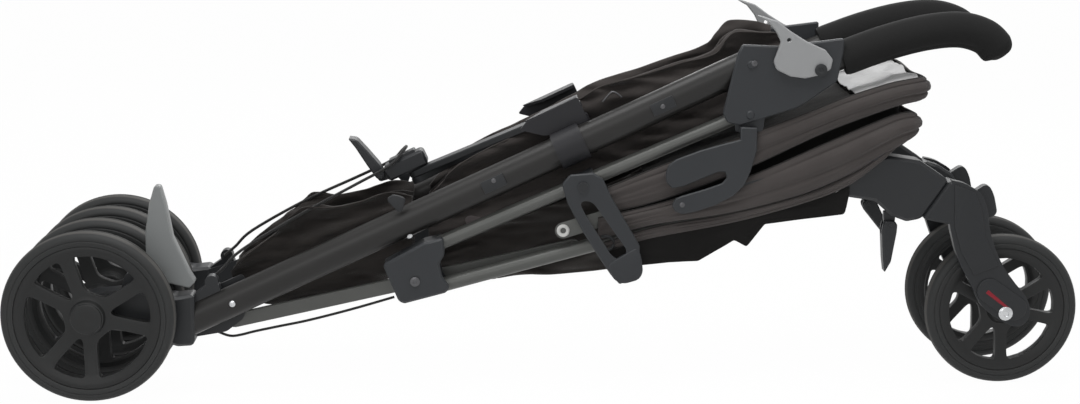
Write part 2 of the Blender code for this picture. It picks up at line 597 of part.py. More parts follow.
def add_canopy_clip(side, s):
    outline = [(196, 280), (213, 279), (213, 256), (207, 234), (201, 220), (190, 209), (171, 199), (153, 193), (138, 190)]
    outline += [(130, 193), (127, 199), (130, 206), (137, 209), (161, 216), (178, 222), (183, 228), (181, 234), (174, 234)]
    outline += [(138, 219), (127, 217), (121, 223), (120, 232), (123, 241), (131, 247), (155, 256), (180, 263), (196, 267)]
    y0 = PLATE_Y[1] + GAP
    clip = prism(f"{side}_canopy_clip", outline, s * y0, s * (y0 + 4.0), "plate")
    bevel(clip, 1.0, 1)
    # A bridge under the side plate leads to the tongue behind it, which the leg's pivot goes through.
    inner = PLATE_Y[0] - GAP
    outer = SIDE_Y + LEG_HALF_W + GAP
    bridge = [(196, 280), (213, 279), (213, 272), (196, 272)]
    join(clip, prism("clip_bridge", bridge, s * outer, s * (y0 + 1.0)))
    tongue = [(192, 274), (220, 274), (222, 292), (214, 305), (198, 305), (190, 292)]
    tongue = prism("clip_tongue", tongue, s * outer, s * inner)
    cut(tongue, rod_y("pivot_clear", PIVOT_TOP, 5.0 + GAP, s * (outer - 3.0), s * (inner + 3.0), None, 16))
    join(clip, tongue)
    join(clip, rod_y("bow_pin", PIVOT_CANOPY, 4.0, s * 75.5, s * (y0 + 1.0), None, 14))
    join(clip, rod_y("bow_head", PIVOT_CANOPY, 6.0, s * 74.0, s * 75.8, None, 14))


def ray(angle, radius):
    a = math.radians(angle)
    return (PIVOT_CANOPY[0] + radius * math.cos(a), PIVOT_CANOPY[1] + radius * math.sin(a))


def add_canopy():
    for side, s in SIDES:
        at = (PIVOT_CANOPY[0], s * 78.0, PIVOT_CANOPY[1])
        arm = bar(f"{side}_canopy_bow", ray(14.0, 0.0), ray(14.0, 212.0), 5.0, s * 76.4, s * 79.4, "plastic", at)
        cut(arm, rod_y("bow_bore", PIVOT_CANOPY, 4.3, s * 70.0, s * 82.0, None, 14))
    rear = [(150, 247), (380, 328), (385, 320), (379, 302), (360, 296), (222, 243), (150, 216)]
    shell = prism("canopy_rear_fabric", rear, -76.0, 76.0, "fabric")
    hollow = [(120, 180), (120, 350), (352, 350), (352, 180)]
    cut(shell, prism("rear_hollow", hollow, -74.0, 74.0))
    # Tabs that button the rear cloth to the side plates.
    tab = [(228, 240), (246, 250), (246, 308), (228, 300)]
    for side, s in SIDES:
        join(shell, prism("tab", tab, s * 74.0, s * (PLATE_Y[0] - GAP)))
    front = [(104, 189), (230, 236), (368, 288), (378, 275), (371, 261), (352, 243), (311, 213), (309, 176), (226, 162)]
    front += [(209, 146), (193, 150), (168, 166), (104, 150)]
    shell = prism("canopy_front_fabric", front, -82.3, 82.3, "fabric")
    hollow = [(90, 120), (90, 320), (348, 320), (348, 256), (400, 256), (400, 120)]
    cut(shell, prism("front_hollow", hollow, -79.7, 79.7))
    cut(shell, rod_y("bow_pin_clear", PIVOT_CANOPY, 5.5, -90.0, 90.0, None, 14))


def across(name, points, v0, v1):
    """A band of cloth over both side frames, given as its ends (u0, u1) and its reach in y."""
    u0, u1, reach = points
    return flat_on_main(name, [(u0, -reach), (u1, -reach), (u1, reach), (u0, reach)], v0, v1)


def add_fabric():
    """The seat, the backrest and the basket, bunched between the side frames, with bands that reach the tubes."""
    reach = SIDE_Y - MAIN_HALF_W - GAP
    seat = [(-104, 113), (-40, 110), (40, 117), (78, 122), (104, 152), (60, 190), (-20, 168), (-96, 138)]
    seat = bevel(prism("seat_fabric", seat, -42.0, 42.0, "fabric"), 8.0, 1)
    band = [(-20, 136), (10, 142.5), (10, 146.5), (-20, 140)]
    join(seat, prism("seat_band", band, -STRUT_Y[0] + GAP, STRUT_Y[0] - GAP))
    rest = [on_main(u, v) for u, v in ((262, -34), (258, 14), (340, 18), (424, 19), (450, 30), (560, 26))]
    rest += [on_main(u, v) for u, v in ((582, 34), (614, 14), (612, -48), (500, -58), (380, -62))]
    rest = bevel(prism("backrest_fabric", rest, -39.0, 39.0, "fabric"), 8.0, 1)
    join(rest, across("rest_band_low", (300.0, 330.0, reach), -6.0, 4.0))
    join(rest, across("rest_band_high", (500.0, 530.0, reach), -6.0, 4.0))
    bag = [(-334, 112), (-322, 140), (-264, 179), (-230, 178), (-186, 194), (-146, 186), (-140, 140)]
    bag += [(-176, 112), (-214, 96), (-262, 88), (-318, 96)]
    bag = bevel(prism("basket_fabric", bag, -41.0, 41.0, "fabric"), 8.0, 1)
    join(bag, across("bag_band", (40.0, 60.0, reach), -6.0, 4.0))


def thread(name, path, radius, kind, steps=8):
    """A round cord or cable along (x, y, z) points."""
    bm = bmesh.new()
    rings = []
    for i, point in enumerate(path):
        at = Vector(point)
        before = Vector(path[max(i - 1, 0)])
        after = Vector(path[min(i + 1, len(path) - 1)])
        along = (after - before).normalized()
        side = along.cross(Vector((0.0, 0.0, 1.0))).normalized()
        up = side.cross(along)
        turns = [math.tau * k / steps for k in range(steps)]
        rings.append([bm.verts.new(at + (side * math.cos(t) + up * math.sin(t)) * radius) for t in turns])
    for first, second in zip(rings, rings[1:]):
        for k in range(steps):
            n = (k + 1) % steps
            bm.faces.new((first[k], first[n], second[n], second[k]))
    bm.faces.new(rings[0])
    bm.faces.new(rings[-1])
    return smooth(add_object(name, bm, kind))


def add_cords():
    """The brake cable from foot to foot over the brace hub, and the basket's elastic edge on the right."""
    right = [(-350, -54.1, 118), (-338, -54.1, 128), (-318, -50, 147), (-260, -41, 181), (-200, -24, 211)]
    right += [(-165, -16, 229), (-152, -9, 242), (-148, -3, 246.5)]
    left = [(x, -y, z) for x, y, z in reversed(right)]
    thread("brake_cable", right + left, 1.6, "plastic")
    edge = [(-352, -48.2, 62.5), (-341, -48.6, 57), (-331, -51.3, 55), (-320, -51.4, 56.5), (-306, -51.4, 60)]
    edge += [(-282, -51.4, 65), (-250, -51.4, 71.5), (-205, -51.4, 83), (-160, -51.4, 96)]
    thread("basket_cord", edge, 1.4, "plastic")


def add_latch():
    """The storage latch: a sleeve on the upper leg with the loop that swings over the lower leg."""
    s = -1.0
    d = Vector((0.9198, 0.3923))
    a = Vector(PIVOT_TOP) - d * 200.0
    b = Vector(PIVOT_TOP) - d * 170.0
    clear = GAP
    sleeve = sweep("latch_sleeve", [(a.x, a.y), (b.x, b.y)], s * SIDE_Y, LEG_HALF_W + 3.0, LEG_HALF_H + 3.5, "plastic", 16)
    ends = [(a.x - d.x * 10, a.y - d.y * 10), (b.x + d.x * 10, b.y + d.y * 10)]
    cut(sleeve, sweep("latch_bore", ends, s * SIDE_Y, LEG_HALF_W + clear, LEG_HALF_H + clear))
    pivot = ((a.x + b.x) / 2, (a.y + b.y) / 2)
    join(sleeve, rod_y("latch_pin", pivot, 3.5, s * 74.5, s * 93.0, None, 14))
    join(sleeve, rod_y("latch_head", pivot, 5.5, s * 91.2, s * 93.0, None, 14))
    outer = [(14, 222), (22, 232), (46, 234), (56, 228), (64, 210), (94, 158), (94, 148), (88, 142), (93, 130)]
    outer += [(74, 117), (64, 128), (52, 146), (36, 172), (20, 202)]
    loop = prism("storage_latch", outer, s * 86.0, s * 90.8, "plastic", (pivot[0], s * 88.0, pivot[1]))
    bevel(loop, 1.2, 1)
    hole = [(32, 205), (45, 205), (82, 152), (76, 142), (66, 146), (36, 194)]
    cut(loop, prism("latch_window", hole, s * 80.0, s * 95.0))
    cut(loop, rod_y("latch_pivot", pivot, 3.8, s * 80.0, s * 95.0, None, 14))


def add_brake():
    s = -1.0
    x, z = PIVOT_BRAKE
    at = (x, s * sum(BRAKE_Y) / 2, z)
    blade = [(-403, 219), (-397, 219), (-392, 200), (-386, 165), (-370, 128), (-364, 118), (-371, 111)]
    blade += [(-390, 116), (x, z - 6), (x - 6, z - 3), (x - 6, z + 3), (x, z + 7), (-414, 145), (-414, 170), (-409, 200)]
    pedal = prism("brake_pedal", blade, s * BRAKE_Y[0], s * BRAKE_Y[1], "grey", at)
    bevel(pedal, 2.0, 2)
    cut(pedal, rod_y("brake_bore", PIVOT_BRAKE, 3.0 + GAP, s * 50.0, s * 80.0, None, 12))


def main():
    for side, s in SIDES:
        add_main_tube(side, s)
        add_rear_foot(side, s)
        add_side_plate(side, s)
        add_tube_sleeve(side, s)
        add_upper_leg(side, s)
        add_lower_leg(side, s)
        add_caster(side, s)
        add_strut(side, s)
        add_canopy_clip(side, s)
        add_wheel(f"{side}_outer_wheel", REAR_AXLE, s * REAR_OUTER_Y, REAR_R, REAR_TYRE_W, s, 17.0)
        add_wheel(f"{side}_inner_wheel", REAR_AXLE, s * REAR_INNER_Y, REAR_R, REAR_TYRE_W, -s, 17.0)
        add_wheel(f"{side}_front_wheel", FRONT_AXLE, s * FRONT_Y, FRONT_R, FRONT_TYRE_W, s, 14.0, False)
    add_brace()
    add_canopy()
    add_fabric()
    add_cords()
    add_latch()
    add_brake()


main()
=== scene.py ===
import math

import bmesh
import bpy
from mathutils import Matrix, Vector, noise
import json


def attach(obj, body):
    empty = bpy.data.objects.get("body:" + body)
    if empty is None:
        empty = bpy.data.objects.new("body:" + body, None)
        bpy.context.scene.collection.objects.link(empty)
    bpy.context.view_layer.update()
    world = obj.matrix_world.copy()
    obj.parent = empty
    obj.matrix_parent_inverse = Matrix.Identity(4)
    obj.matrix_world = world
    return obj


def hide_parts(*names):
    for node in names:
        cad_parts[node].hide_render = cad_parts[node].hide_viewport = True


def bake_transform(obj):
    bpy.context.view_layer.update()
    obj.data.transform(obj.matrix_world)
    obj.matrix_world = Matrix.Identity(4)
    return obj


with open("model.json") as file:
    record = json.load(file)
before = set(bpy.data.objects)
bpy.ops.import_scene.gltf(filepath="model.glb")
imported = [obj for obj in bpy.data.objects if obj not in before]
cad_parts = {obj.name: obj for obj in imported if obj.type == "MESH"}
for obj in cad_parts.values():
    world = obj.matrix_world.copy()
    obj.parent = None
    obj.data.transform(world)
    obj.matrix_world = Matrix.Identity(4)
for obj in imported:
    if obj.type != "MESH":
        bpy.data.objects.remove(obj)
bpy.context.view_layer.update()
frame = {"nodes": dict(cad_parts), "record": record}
nodes = frame["nodes"]
bothSides = (("right", -1.0), ("left", 1.0))


def deselectAll():
    if bpy.context.object and bpy.context.object.mode != "OBJECT":
        bpy.ops.object.mode_set(mode="OBJECT")
    bpy.ops.object.select_all(action="DESELECT")


def pick(piece):
    deselectAll()
    piece.select_set(True)
    bpy.context.view_layer.objects.active = piece


def applyAll(piece):
    pick(piece)
    for modifier in list(piece.modifiers):
        bpy.ops.object.modifier_apply(modifier=modifier.name)


def addObject(name, data):
    added = bpy.data.objects.new(name, data)
    bpy.context.scene.collection.objects.link(added)
    return added


def objectFrom(bm, name):
    mesh = bpy.data.meshes.new(name)
    bm.to_mesh(mesh)
    bm.free()
    return addObject(name, mesh)


def settle(piece):
    # the finished object sits at the origin, with its place in its mesh
    pick(piece)
    bpy.ops.object.transform_apply(location=True, rotation=True, scale=True)


def smoothOver(piece, degrees=35.0):
    pick(piece)
    bpy.ops.object.shade_smooth_by_angle(angle=math.radians(degrees))


def closeEdit(merge=0.00001):
    # doubles merged and faces turned outwards before edit mode is left
    bpy.ops.mesh.select_all(action="SELECT")
    if merge:
        bpy.ops.mesh.remove_doubles(threshold=merge)
    bpy.ops.mesh.normals_make_consistent(inside=False)
    bpy.ops.object.mode_set(mode="OBJECT")


def cleanUp(piece):
    pick(piece)
    bpy.ops.object.mode_set(mode="EDIT")
    closeEdit()


def finishPiece(piece, material, body, stands=()):
    piece.data.materials.clear()
    piece.data.materials.append(material)
    if stands:
        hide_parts(*stands)
    if body:
        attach(piece, body)
    return piece


def softBevel(piece, width, segments=2, angle=30.0):
    modifier = piece.modifiers.new("edges", "BEVEL")
    modifier.width = width
    modifier.segments = segments
    modifier.limit_method = "ANGLE"
    modifier.angle_limit = math.radians(angle)
    modifier.harden_normals = False
    applyAll(piece)


def takeAway(piece, cutter):
    modifier = piece.modifiers.new("cut", "BOOLEAN")
    modifier.operation = "DIFFERENCE"
    modifier.object = cutter
    modifier.solver = "EXACT"
    applyAll(piece)
    bpy.data.objects.remove(cutter, do_unlink=True)


def outlineOf(name, points, fill):
    # a circle whose points are moved to the outline, left in edit mode with all of it selected
    deselectAll()
    bpy.ops.mesh.primitive_circle_add(vertices=len(points), radius=0.01, fill_type=fill)
    piece = bpy.context.object
    piece.name = name
    for vertex, point in zip(piece.data.vertices, points):
        vertex.co = point
    bpy.ops.object.mode_set(mode="EDIT")
    bpy.ops.mesh.select_all(action="SELECT")
    return piece


def plateOf(name, outline, yFrom, yTo):
    # a flat outline in x and z, extruded along y
    piece = outlineOf(name, [(x, yFrom, z) for x, z in outline], "NGON")
    bpy.ops.mesh.extrude_region_move(TRANSFORM_OT_translate={"value": (0.0, yTo - yFrom, 0.0)})
    closeEdit(0)
    return piece


def turned(name, profile, centre, steps):
    # a closed profile of (radius, y) points, spun round the y axis through centre
    piece = outlineOf(name, [(centre[0] + radius, y, centre[2]) for radius, y in profile], "NOTHING")
    bpy.ops.mesh.spin(steps=steps, angle=math.tau, center=(centre[0], 0.0, centre[2]), axis=(0.0, 1.0, 0.0))
    closeEdit(0.00002)
    return piece


def mixAt(points, x):
    # the height at x of a smooth line through the points
    if x <= points[0][0]:
        return points[0][1]
    if x >= points[-1][0]:
        return points[-1][1]
    i = next(k for k in range(len(points) - 1) if x <= points[k + 1][0])
    (x0, z0), (x1, z1) = points[i], points[i + 1]
    before, after = points[max(i - 1, 0)], points[min(i + 2, len(points) - 1)]
    step = x1 - x0
    slope0 = (z1 - before[1]) / (x1 - before[0]) * step
    slope1 = (after[1] - z0) / (after[0] - x0) * step
    t = (x - x0) / step
    flat = z0 * (1 + 2 * t) * (1 - t) ** 2 + z1 * t * t * (3 - 2 * t)
    return flat + slope0 * t * (1 - t) ** 2 + slope1 * t * t * (t - 1)


def straightAt(points, x):
    # the height of a line with sharp corners
    for (x0, z0), (x1, z1) in zip(points, points[1:]):
        if x <= x1:
            return z0 + (z1 - z0) * max(0.0, x - x0) / (x1 - x0)
    return points[-1][1]


def easeIn(value, start, end):
    # rises smoothly from 0 at start to 1 at end
    t = min(1.0, max(0.0, (value - start) / (end - start)))
    return t * t * (3 - 2 * t)


def lumpAt(*place):
    # smooth noise about zero
    return noise.noise(Vector(place))


cameraValues = {"place": (-0.059, -2.097, 0.601), "down": 11.18, "turn": 1.447, "lens": 66.87}


def makeCamera():
    camera = addObject("camera", bpy.data.cameras.new("camera"))
    camera.location = cameraValues["place"]
    tilt, turn = math.radians(90.0 - cameraValues["down"]), math.radians(cameraValues["turn"])
    camera.rotation_euler = (tilt, 0.0, -turn)
    camera.data.sensor_fit = "HORIZONTAL"
    camera.data.sensor_width = 36.0
    camera.data.lens = cameraValues["lens"]
    camera.data.clip_start = 0.01
    bpy.context.scene.camera = camera


lightValues = {
    # name: place, aim, width, height, watts
    "overhead": ((0.05, -0.45, 1.70), (0.0, 0.0, 0.2), 1.8, 0.9, 23.0),
    "front": ((-0.70, -2.1, 1.00), (0.0, 0.0, 0.2), 1.4, 0.8, 7.0),
    "back": ((0.35, 1.70, 1.25), (0.0, 0.0, 0.25), 1.8, 0.8, 17.0),
}
studioValues = {
    # the world's light on the object, and the share of plain white in the floor that the camera sees
    "worldLight": 0.22, "floorGlow": 0.985, "floorSize": 12.0, "floorMiddle": 2.0, "floorDrop": 0.0005,
}


def addNode(tree, kind, inputs=(), **settings):
    # a shader node with its settings made and its inputs set to a value or linked to another node
    node = tree.nodes.new("ShaderNode" + kind)
    for name, value in settings.items():
        setattr(node, name, value)
    for name, value in dict(inputs).items():
        if isinstance(value, bpy.types.NodeSocket):
            tree.links.new(value, node.inputs[name])
        else:
            node.inputs[name].default_value = value
    return node


def mathNode(tree, operation, first, second, clamp=False):
    return addNode(tree, "Math", {0: first, 1: second}, operation=operation, use_clamp=clamp).outputs[0]


def newMaterial(name):
    material = bpy.data.materials.new(name)
    material.use_nodes = True
    tree = material.node_tree
    return material, tree, tree.nodes["Principled BSDF"]


def seenDirectly(tree):
    # 1 for what the camera sees, straight or in a gloss or through a clear piece
    path = addNode(tree, "LightPath").outputs
    total = path["Is Camera Ray"]
    for kind in ("Is Glossy Ray", "Is Transmission Ray"):
        total = mathNode(tree, "ADD", total, path[kind], True)
    return total


def makeLights():
    for name, (place, aim, width, height, watts) in lightValues.items():
        lamp = bpy.data.lights.new(name, "AREA")
        lamp.shape = "RECTANGLE"
        lamp.size = width
        lamp.size_y = height
        lamp.energy = watts
        holder = addObject(name, lamp)
        holder.location = place
        holder.rotation_euler = (Vector(aim) - Vector(place)).to_track_quat("-Z", "Y").to_euler()
    world = bpy.data.worlds.new("studio")
    bpy.context.scene.world = world
    world.use_nodes = True
    tree = world.node_tree
    light = tree.nodes["Background"]
    light.inputs["Color"].default_value = (1.0, 1.0, 1.0, 1.0)
    light.inputs["Strength"].default_value = studioValues["worldLight"]
    seen = addNode(tree, "Background", {"Strength": 1.0})
    mix = addNode(tree, "MixShader", {0: seenDirectly(tree), 1: light.outputs[0], 2: seen.outputs[0]})
    tree.links.new(mix.outputs[0], tree.nodes["World Output"].inputs[0])


def makeFloor():
    deselectAll()
    place = (0.0, studioValues["floorMiddle"], -studioValues["floorDrop"])
    bpy.ops.mesh.primitive_plane_add(size=studioValues["floorSize"], location=place)
    floor = bpy.context.object
    floor.name = "floor"
    material, tree, shader = newMaterial("paleFloor")
    shader.inputs["Base Color"].default_value = (0.90, 0.90, 0.90, 1.0)
    shader.inputs["Roughness"].default_value = 0.9
    glow = addNode(tree, "Emission", {"Color": (1.0, 1.0, 1.0, 1.0), "Strength": 1.0})
    share = mathNode(tree, "MULTIPLY", seenDirectly(tree), studioValues["floorGlow"])
    mix = addNode(tree, "MixShader", {0: share, 1: shader.outputs[0], 2: glow.outputs[0]})
    tree.links.new(mix.outputs[0], tree.nodes["Material Output"].inputs[0])
    floor.data.materials.append(material)


makeCamera()
makeLights()
makeFloor()
bpy.context.scene.view_settings.view_transform = "Standard"
print("camera, lights and floor are in place")


def newGroup(name, inputs, outputs):
    group = bpy.data.node_groups.new(name, "ShaderNodeTree")
    for label, value in inputs.items():
        made = group.interface.new_socket(name=label, in_out="INPUT", socket_type="NodeSocketFloat")
        made.default_value = value
    for label in outputs:
        group.interface.new_socket(name=label, in_out="OUTPUT", socket_type="NodeSocketFloat")
    return group, group.nodes.new("NodeGroupInput").outputs, group.nodes.new("NodeGroupOutput").inputs


def objectPlace(tree):
    return addNode(tree, "TexCoord").outputs["Object"]


def makeWearAndHighlightEdge():
    # a mask that is high along sharp edges, broken up by noise: it marks rubbed wear together with painted
    # edge highlights
    group, given, out = newGroup("wearAndHighlightEdge", {"Radius": 0.0012, "Amount": 0.6}, ("Mask",))
    rounded = addNode(group, "Bevel", {"Radius": given["Radius"]}, samples=4)
    normal = addNode(group, "NewGeometry").outputs["Normal"]
    dot = addNode(group, "VectorMath", {0: rounded.outputs[0], 1: normal}, operation="DOT_PRODUCT")
    sharp = mathNode(group, "MULTIPLY", mathNode(group, "SUBTRACT", 1.0, dot.outputs["Value"]), 5.0, True)
    breaks = addNode(group, "TexNoise", {"Vector": objectPlace(group), "Scale": 90.0, "Detail": 4.0})
    broken = mathNode(group, "MULTIPLY", sharp, breaks.outputs[0])
    group.links.new(mathNode(group, "MULTIPLY", broken, given["Amount"], True), out["Mask"])
    return group


def makeMouldGrain():
    # the fine texture of moulded plastic and powder coat, with broad, faint changes of tone
    group, given, out = newGroup("mouldGrain", {"Grain": 1400.0, "Cloud": 9.0}, ("Height", "Tone"))
    place = objectPlace(group)
    fine = addNode(group, "TexVoronoi", {"Vector": place, "Scale": given["Grain"]}, feature="SMOOTH_F1")
    broad = addNode(group, "TexNoise", {"Vector": place, "Scale": given["Cloud"], "Detail": 5.0})
    group.links.new(fine.outputs["Distance"], out["Height"])
    group.links.new(broad.outputs[0], out["Tone"])
    return group


def makeClothWeave():
    # warp and weft from the piece's own UV map, which is in metres
    group, given, out = newGroup("clothWeave", {"Threads": 1500.0, "Cloud": 14.0}, ("Height", "Tone"))
    unwrapped = addNode(group, "UVMap", uv_map="cloth").outputs[0]
    threads = {"Vector": unwrapped, "Scale": given["Threads"], "Distortion": 0.6, "Detail": 1.0}
    waves = [addNode(group, "TexWave", threads, bands_direction=way).outputs["Fac"] for way in ("X", "Y")]
    broad = addNode(group, "TexNoise", {"Vector": objectPlace(group), "Scale": given["Cloud"], "Detail": 6.0})
    group.links.new(mathNode(group, "ADD", *waves), out["Height"])
    group.links.new(broad.outputs[0], out["Tone"])
    return group


wearAndHighlightEdge = makeWearAndHighlightEdge()
mouldGrain = makeMouldGrain()
clothWeave = makeClothWeave()


def placeGroup(tree, group, values):
    return addNode(tree, "Group", values, node_tree=group).outputs


def colourMix(tree, share, first, second):
    first, second = [(*value, 1.0) if isinstance(value, tuple) else value for value in (first, second)]
    mix = addNode(tree, "Mix", {"A": first, "B": second, "Factor": share}, data_type="RGBA")
    return mix.outputs["Result"]


def addRelief(tree, shader, height, strength, depth):
    relief = addNode(tree, "Bump", {"Strength": strength, "Distance": depth, "Height": height})
    tree.links.new(relief.outputs[0], shader.inputs["Normal"])


def hardFinish(name, dark, light, wearAndHighlight, rough, metal, grain, bump, edge, amount, coat=0.0):
    # plastic, powder coat and bare metal: clouded colour, fine grain, and rubbed edges whose pale colour is
    # partly wear and partly painted highlight
    material, tree, shader = newMaterial(name)
    shader.inputs["Metallic"].default_value = metal
    shader.inputs["Specular IOR Level"].default_value = 0.30
    if coat:
        shader.inputs["Coat Weight"].default_value = coat
        shader.inputs["Coat Roughness"].default_value = 0.35
    surface = placeGroup(tree, mouldGrain, {"Grain": grain, "Cloud": 9.0})
    edges = placeGroup(tree, wearAndHighlightEdge, {"Radius": edge, "Amount": amount})
    clouded = colourMix(tree, surface["Tone"], dark, light)
    # the edges take a paler colour: partly rubbed wear, partly painted highlight
    tree.links.new(colourMix(tree, edges["Mask"], clouded, wearAndHighlight), shader.inputs["Base Color"])
    spread = mathNode(tree, "MULTIPLY", surface["Tone"], rough[1] - rough[0])
    tree.links.new(mathNode(tree, "ADD", spread, rough[0]), shader.inputs["Roughness"])
    addRelief(tree, shader, surface["Height"], bump, 0.0003)
    return material


def clothFinish(name, dark, light, threads=1500.0, rough=0.85, sheen=0.18, bump=0.35):
    material, tree, shader = newMaterial(name)
    shader.inputs["Roughness"].default_value = rough
    shader.inputs["Specular IOR Level"].default_value = 0.18
    shader.inputs["Sheen Weight"].default_value = sheen
    shader.inputs["Sheen Roughness"].default_value = 0.45
    surface = placeGroup(tree, clothWeave, {"Threads": threads, "Cloud": 16.0})
    tree.links.new(colourMix(tree, surface["Tone"], dark, light), shader.inputs["Base Color"])
    addRelief(tree, shader, surface["Height"], bump, 0.0002)
    return material


hardValues = {
    # finish: dark and light colour, colour of the worn edges that also paints their highlight, roughness from
    # and to,
    #         metal, grain, bump, width of the worn and highlighted edges, their amount, clear coat
    "framePaint": ((0.010, 0.0095, 0.009), (0.019, 0.018, 0.017), (0.09, 0.09, 0.09), (0.30, 0.44),
        0.0, 2200.0, 0.06, 0.001, 0.35, 0.10),
    "legPaint": ((0.074, 0.076, 0.072), (0.118, 0.120, 0.113), (0.17, 0.17, 0.17), (0.40, 0.52),
        0.35, 2200.0, 0.05, 0.001, 0.35, 0.2),
    "blackPlastic": ((0.016, 0.017, 0.019), (0.028, 0.030, 0.032), (0.13, 0.13, 0.135), (0.36, 0.50),
        0.0, 1500.0, 0.10, 0.0012, 0.55),
    "sleevePlastic": ((0.012, 0.012, 0.014), (0.021, 0.021, 0.024), (0.10, 0.10, 0.105), (0.42, 0.54),
        0.0, 1500.0, 0.10, 0.0012, 0.3),
    "platePlastic": ((0.026, 0.028, 0.031), (0.038, 0.041, 0.045), (0.15, 0.155, 0.16), (0.42, 0.54),
        0.0, 1500.0, 0.12, 0.0012, 0.5),
    "greyPlastic": ((0.30, 0.305, 0.31), (0.37, 0.375, 0.38), (0.50, 0.50, 0.50), (0.34, 0.46),
        0.0, 1700.0, 0.08, 0.0012, 0.5),
    "pedalPlastic": ((0.20, 0.21, 0.21), (0.26, 0.27, 0.27), (0.46, 0.46, 0.45), (0.34, 0.46),
        0.0, 1700.0, 0.08, 0.0022, 0.9),
    "whitePlastic": ((0.62, 0.62, 0.60), (0.74, 0.74, 0.72), (0.85, 0.85, 0.85), (0.32, 0.44),
        0.0, 1600.0, 0.06, 0.0008, 0.3),
    "rimPlastic": ((0.012, 0.0125, 0.0125), (0.021, 0.0215, 0.0215), (0.13, 0.13, 0.135), (0.40, 0.52),
        0.0, 1500.0, 0.10, 0.0012, 0.5),
    "tyreRubber": ((0.022, 0.023, 0.023), (0.036, 0.037, 0.037), (0.12, 0.12, 0.12), (0.55, 0.70),
        0.0, 900.0, 0.25, 0.002, 0.25),
    # a lighter copy of the tyre rubber: painted highlight on the treads
    "litTreadRubber": ((0.052, 0.050, 0.047), (0.085, 0.082, 0.078), (0.12, 0.12, 0.12), (0.6, 0.75),
        0.0, 900.0, 0.25, 0.002, 0.2),
    "gripFoam": ((0.008, 0.008, 0.008), (0.014, 0.014, 0.014), (0.03, 0.03, 0.03), (0.88, 0.96),
        0.0, 700.0, 0.55, 0.002, 0.2),
    "bareSteel": ((0.50, 0.51, 0.52), (0.66, 0.67, 0.68), (0.85, 0.85, 0.85), (0.20, 0.34),
        1.0, 2600.0, 0.04, 0.0008, 0.5),
    "darkSteel": ((0.08, 0.08, 0.085), (0.13, 0.13, 0.135), (0.32, 0.32, 0.32), (0.28, 0.42),
        0.8, 2600.0, 0.04, 0.0008, 0.5),
    "redPaint": ((0.22, 0.010, 0.020), (0.32, 0.014, 0.028), (0.40, 0.05, 0.06), (0.35, 0.45),
        0.0, 1800.0, 0.05, 0.0008, 0.3),
}
clothValues = {
    # finish: dark and light colour, size of the weave, roughness, sheen, bump
    "canopyCloth": ((0.056, 0.049, 0.047), (0.092, 0.082, 0.079)),
    # near-black cloth that is painted shade for the hood's tails, the valleys between its lobes and the gap
    # under its top
    "canopyTailCloth": ((0.005, 0.0047, 0.0045), (0.012, 0.0113, 0.0107), 1500.0, 0.85, 0.05),
    "canopyPiping": ((0.020, 0.018, 0.017), (0.034, 0.031, 0.029), 900.0, 0.8, 0.2, 0.4),
    "liningCloth": ((0.34, 0.34, 0.34), (0.80, 0.80, 0.80), 1500.0, 0.8, 0.2, 0.25),
    "seatCloth": ((0.020, 0.018, 0.017), (0.044, 0.039, 0.036)),
    # the backrest's cloth is the seat cloth made lighter: painted light on its lit top
    "backCloth": ((0.034, 0.030, 0.028), (0.068, 0.060, 0.057)),
    "basketCloth": ((0.016, 0.014, 0.013), (0.036, 0.031, 0.028), 900.0, 0.8, 0.2, 0.6),
    "tabCloth": ((0.110, 0.095, 0.095), (0.165, 0.145, 0.145), 900.0),
    "cordBraid": ((0.018, 0.018, 0.018), (0.032, 0.032, 0.032), 700.0, 0.6, 0.3, 0.6),
}
finishes = {name: hardFinish(name, *values) for name, values in hardValues.items()}
finishes.update({name: clothFinish(name, *values) for name, values in clothValues.items()})
print("materials are made")

frameValues = {
    # ending of the node's name: finish, material slot, rounding of its edges and of its outline's corners
    "main_tube": ("framePaint", "black_frame", 0.0, 0.0),
    "rear_foot": ("blackPlastic", "black_plastic", 0.0014, 0.003),
    "side_plate": ("platePlastic", "plate_plastic", 0.0009, 0.004),
    "tube_sleeve": ("sleevePlastic", "plate_plastic", 0.0009, 0.002),
    "canopy_clip": ("platePlastic", "plate_plastic", 0.0009, 0.004),
    "upper_leg": ("legPaint", "black_frame", 0.0, 0.0),
    "knee": ("platePlastic", "plate_plastic", 0.0014, 0.003),
    "lower_leg": ("legPaint", "black_frame", 0.0, 0.0),
    "front_foot": ("blackPlastic", "black_plastic", 0.0018, 0.005),
    "strut": ("legPaint", "black_frame", 0.0008, 0.003),
    "fork": ("blackPlastic", "black_plastic", 0.0020, 0.006),
    "swivel_lock": ("blackPlastic", "black_plastic", 0.0012, 0.004),
    "release_lever": ("greyPlastic", "grey_plastic", 0.0007, 0.004),
    "brace_link": ("blackPlastic", "black_plastic", 0.0008, 0.003),
    "canopy_bow": ("blackPlastic", "black_plastic", 0.0, 0.0),
    "brace_hub": ("blackPlastic", "black_plastic", 0.0012, 0.002),
    "foot_pedal": ("blackPlastic", "black_plastic", 0.0012, 0.003),
    "latch_sleeve": ("blackPlastic", "black_plastic", 0.0008, 0.002),
    "storage_latch": ("platePlastic", "plate_plastic", 0.0010, 0.006),
    "brake_pedal": ("pedalPlastic", "grey_plastic", 0.0018, 0.005),
}
bodyOf = {name: body for body, held in frame["record"]["behaviour"]["bodies"].items() for name in held}


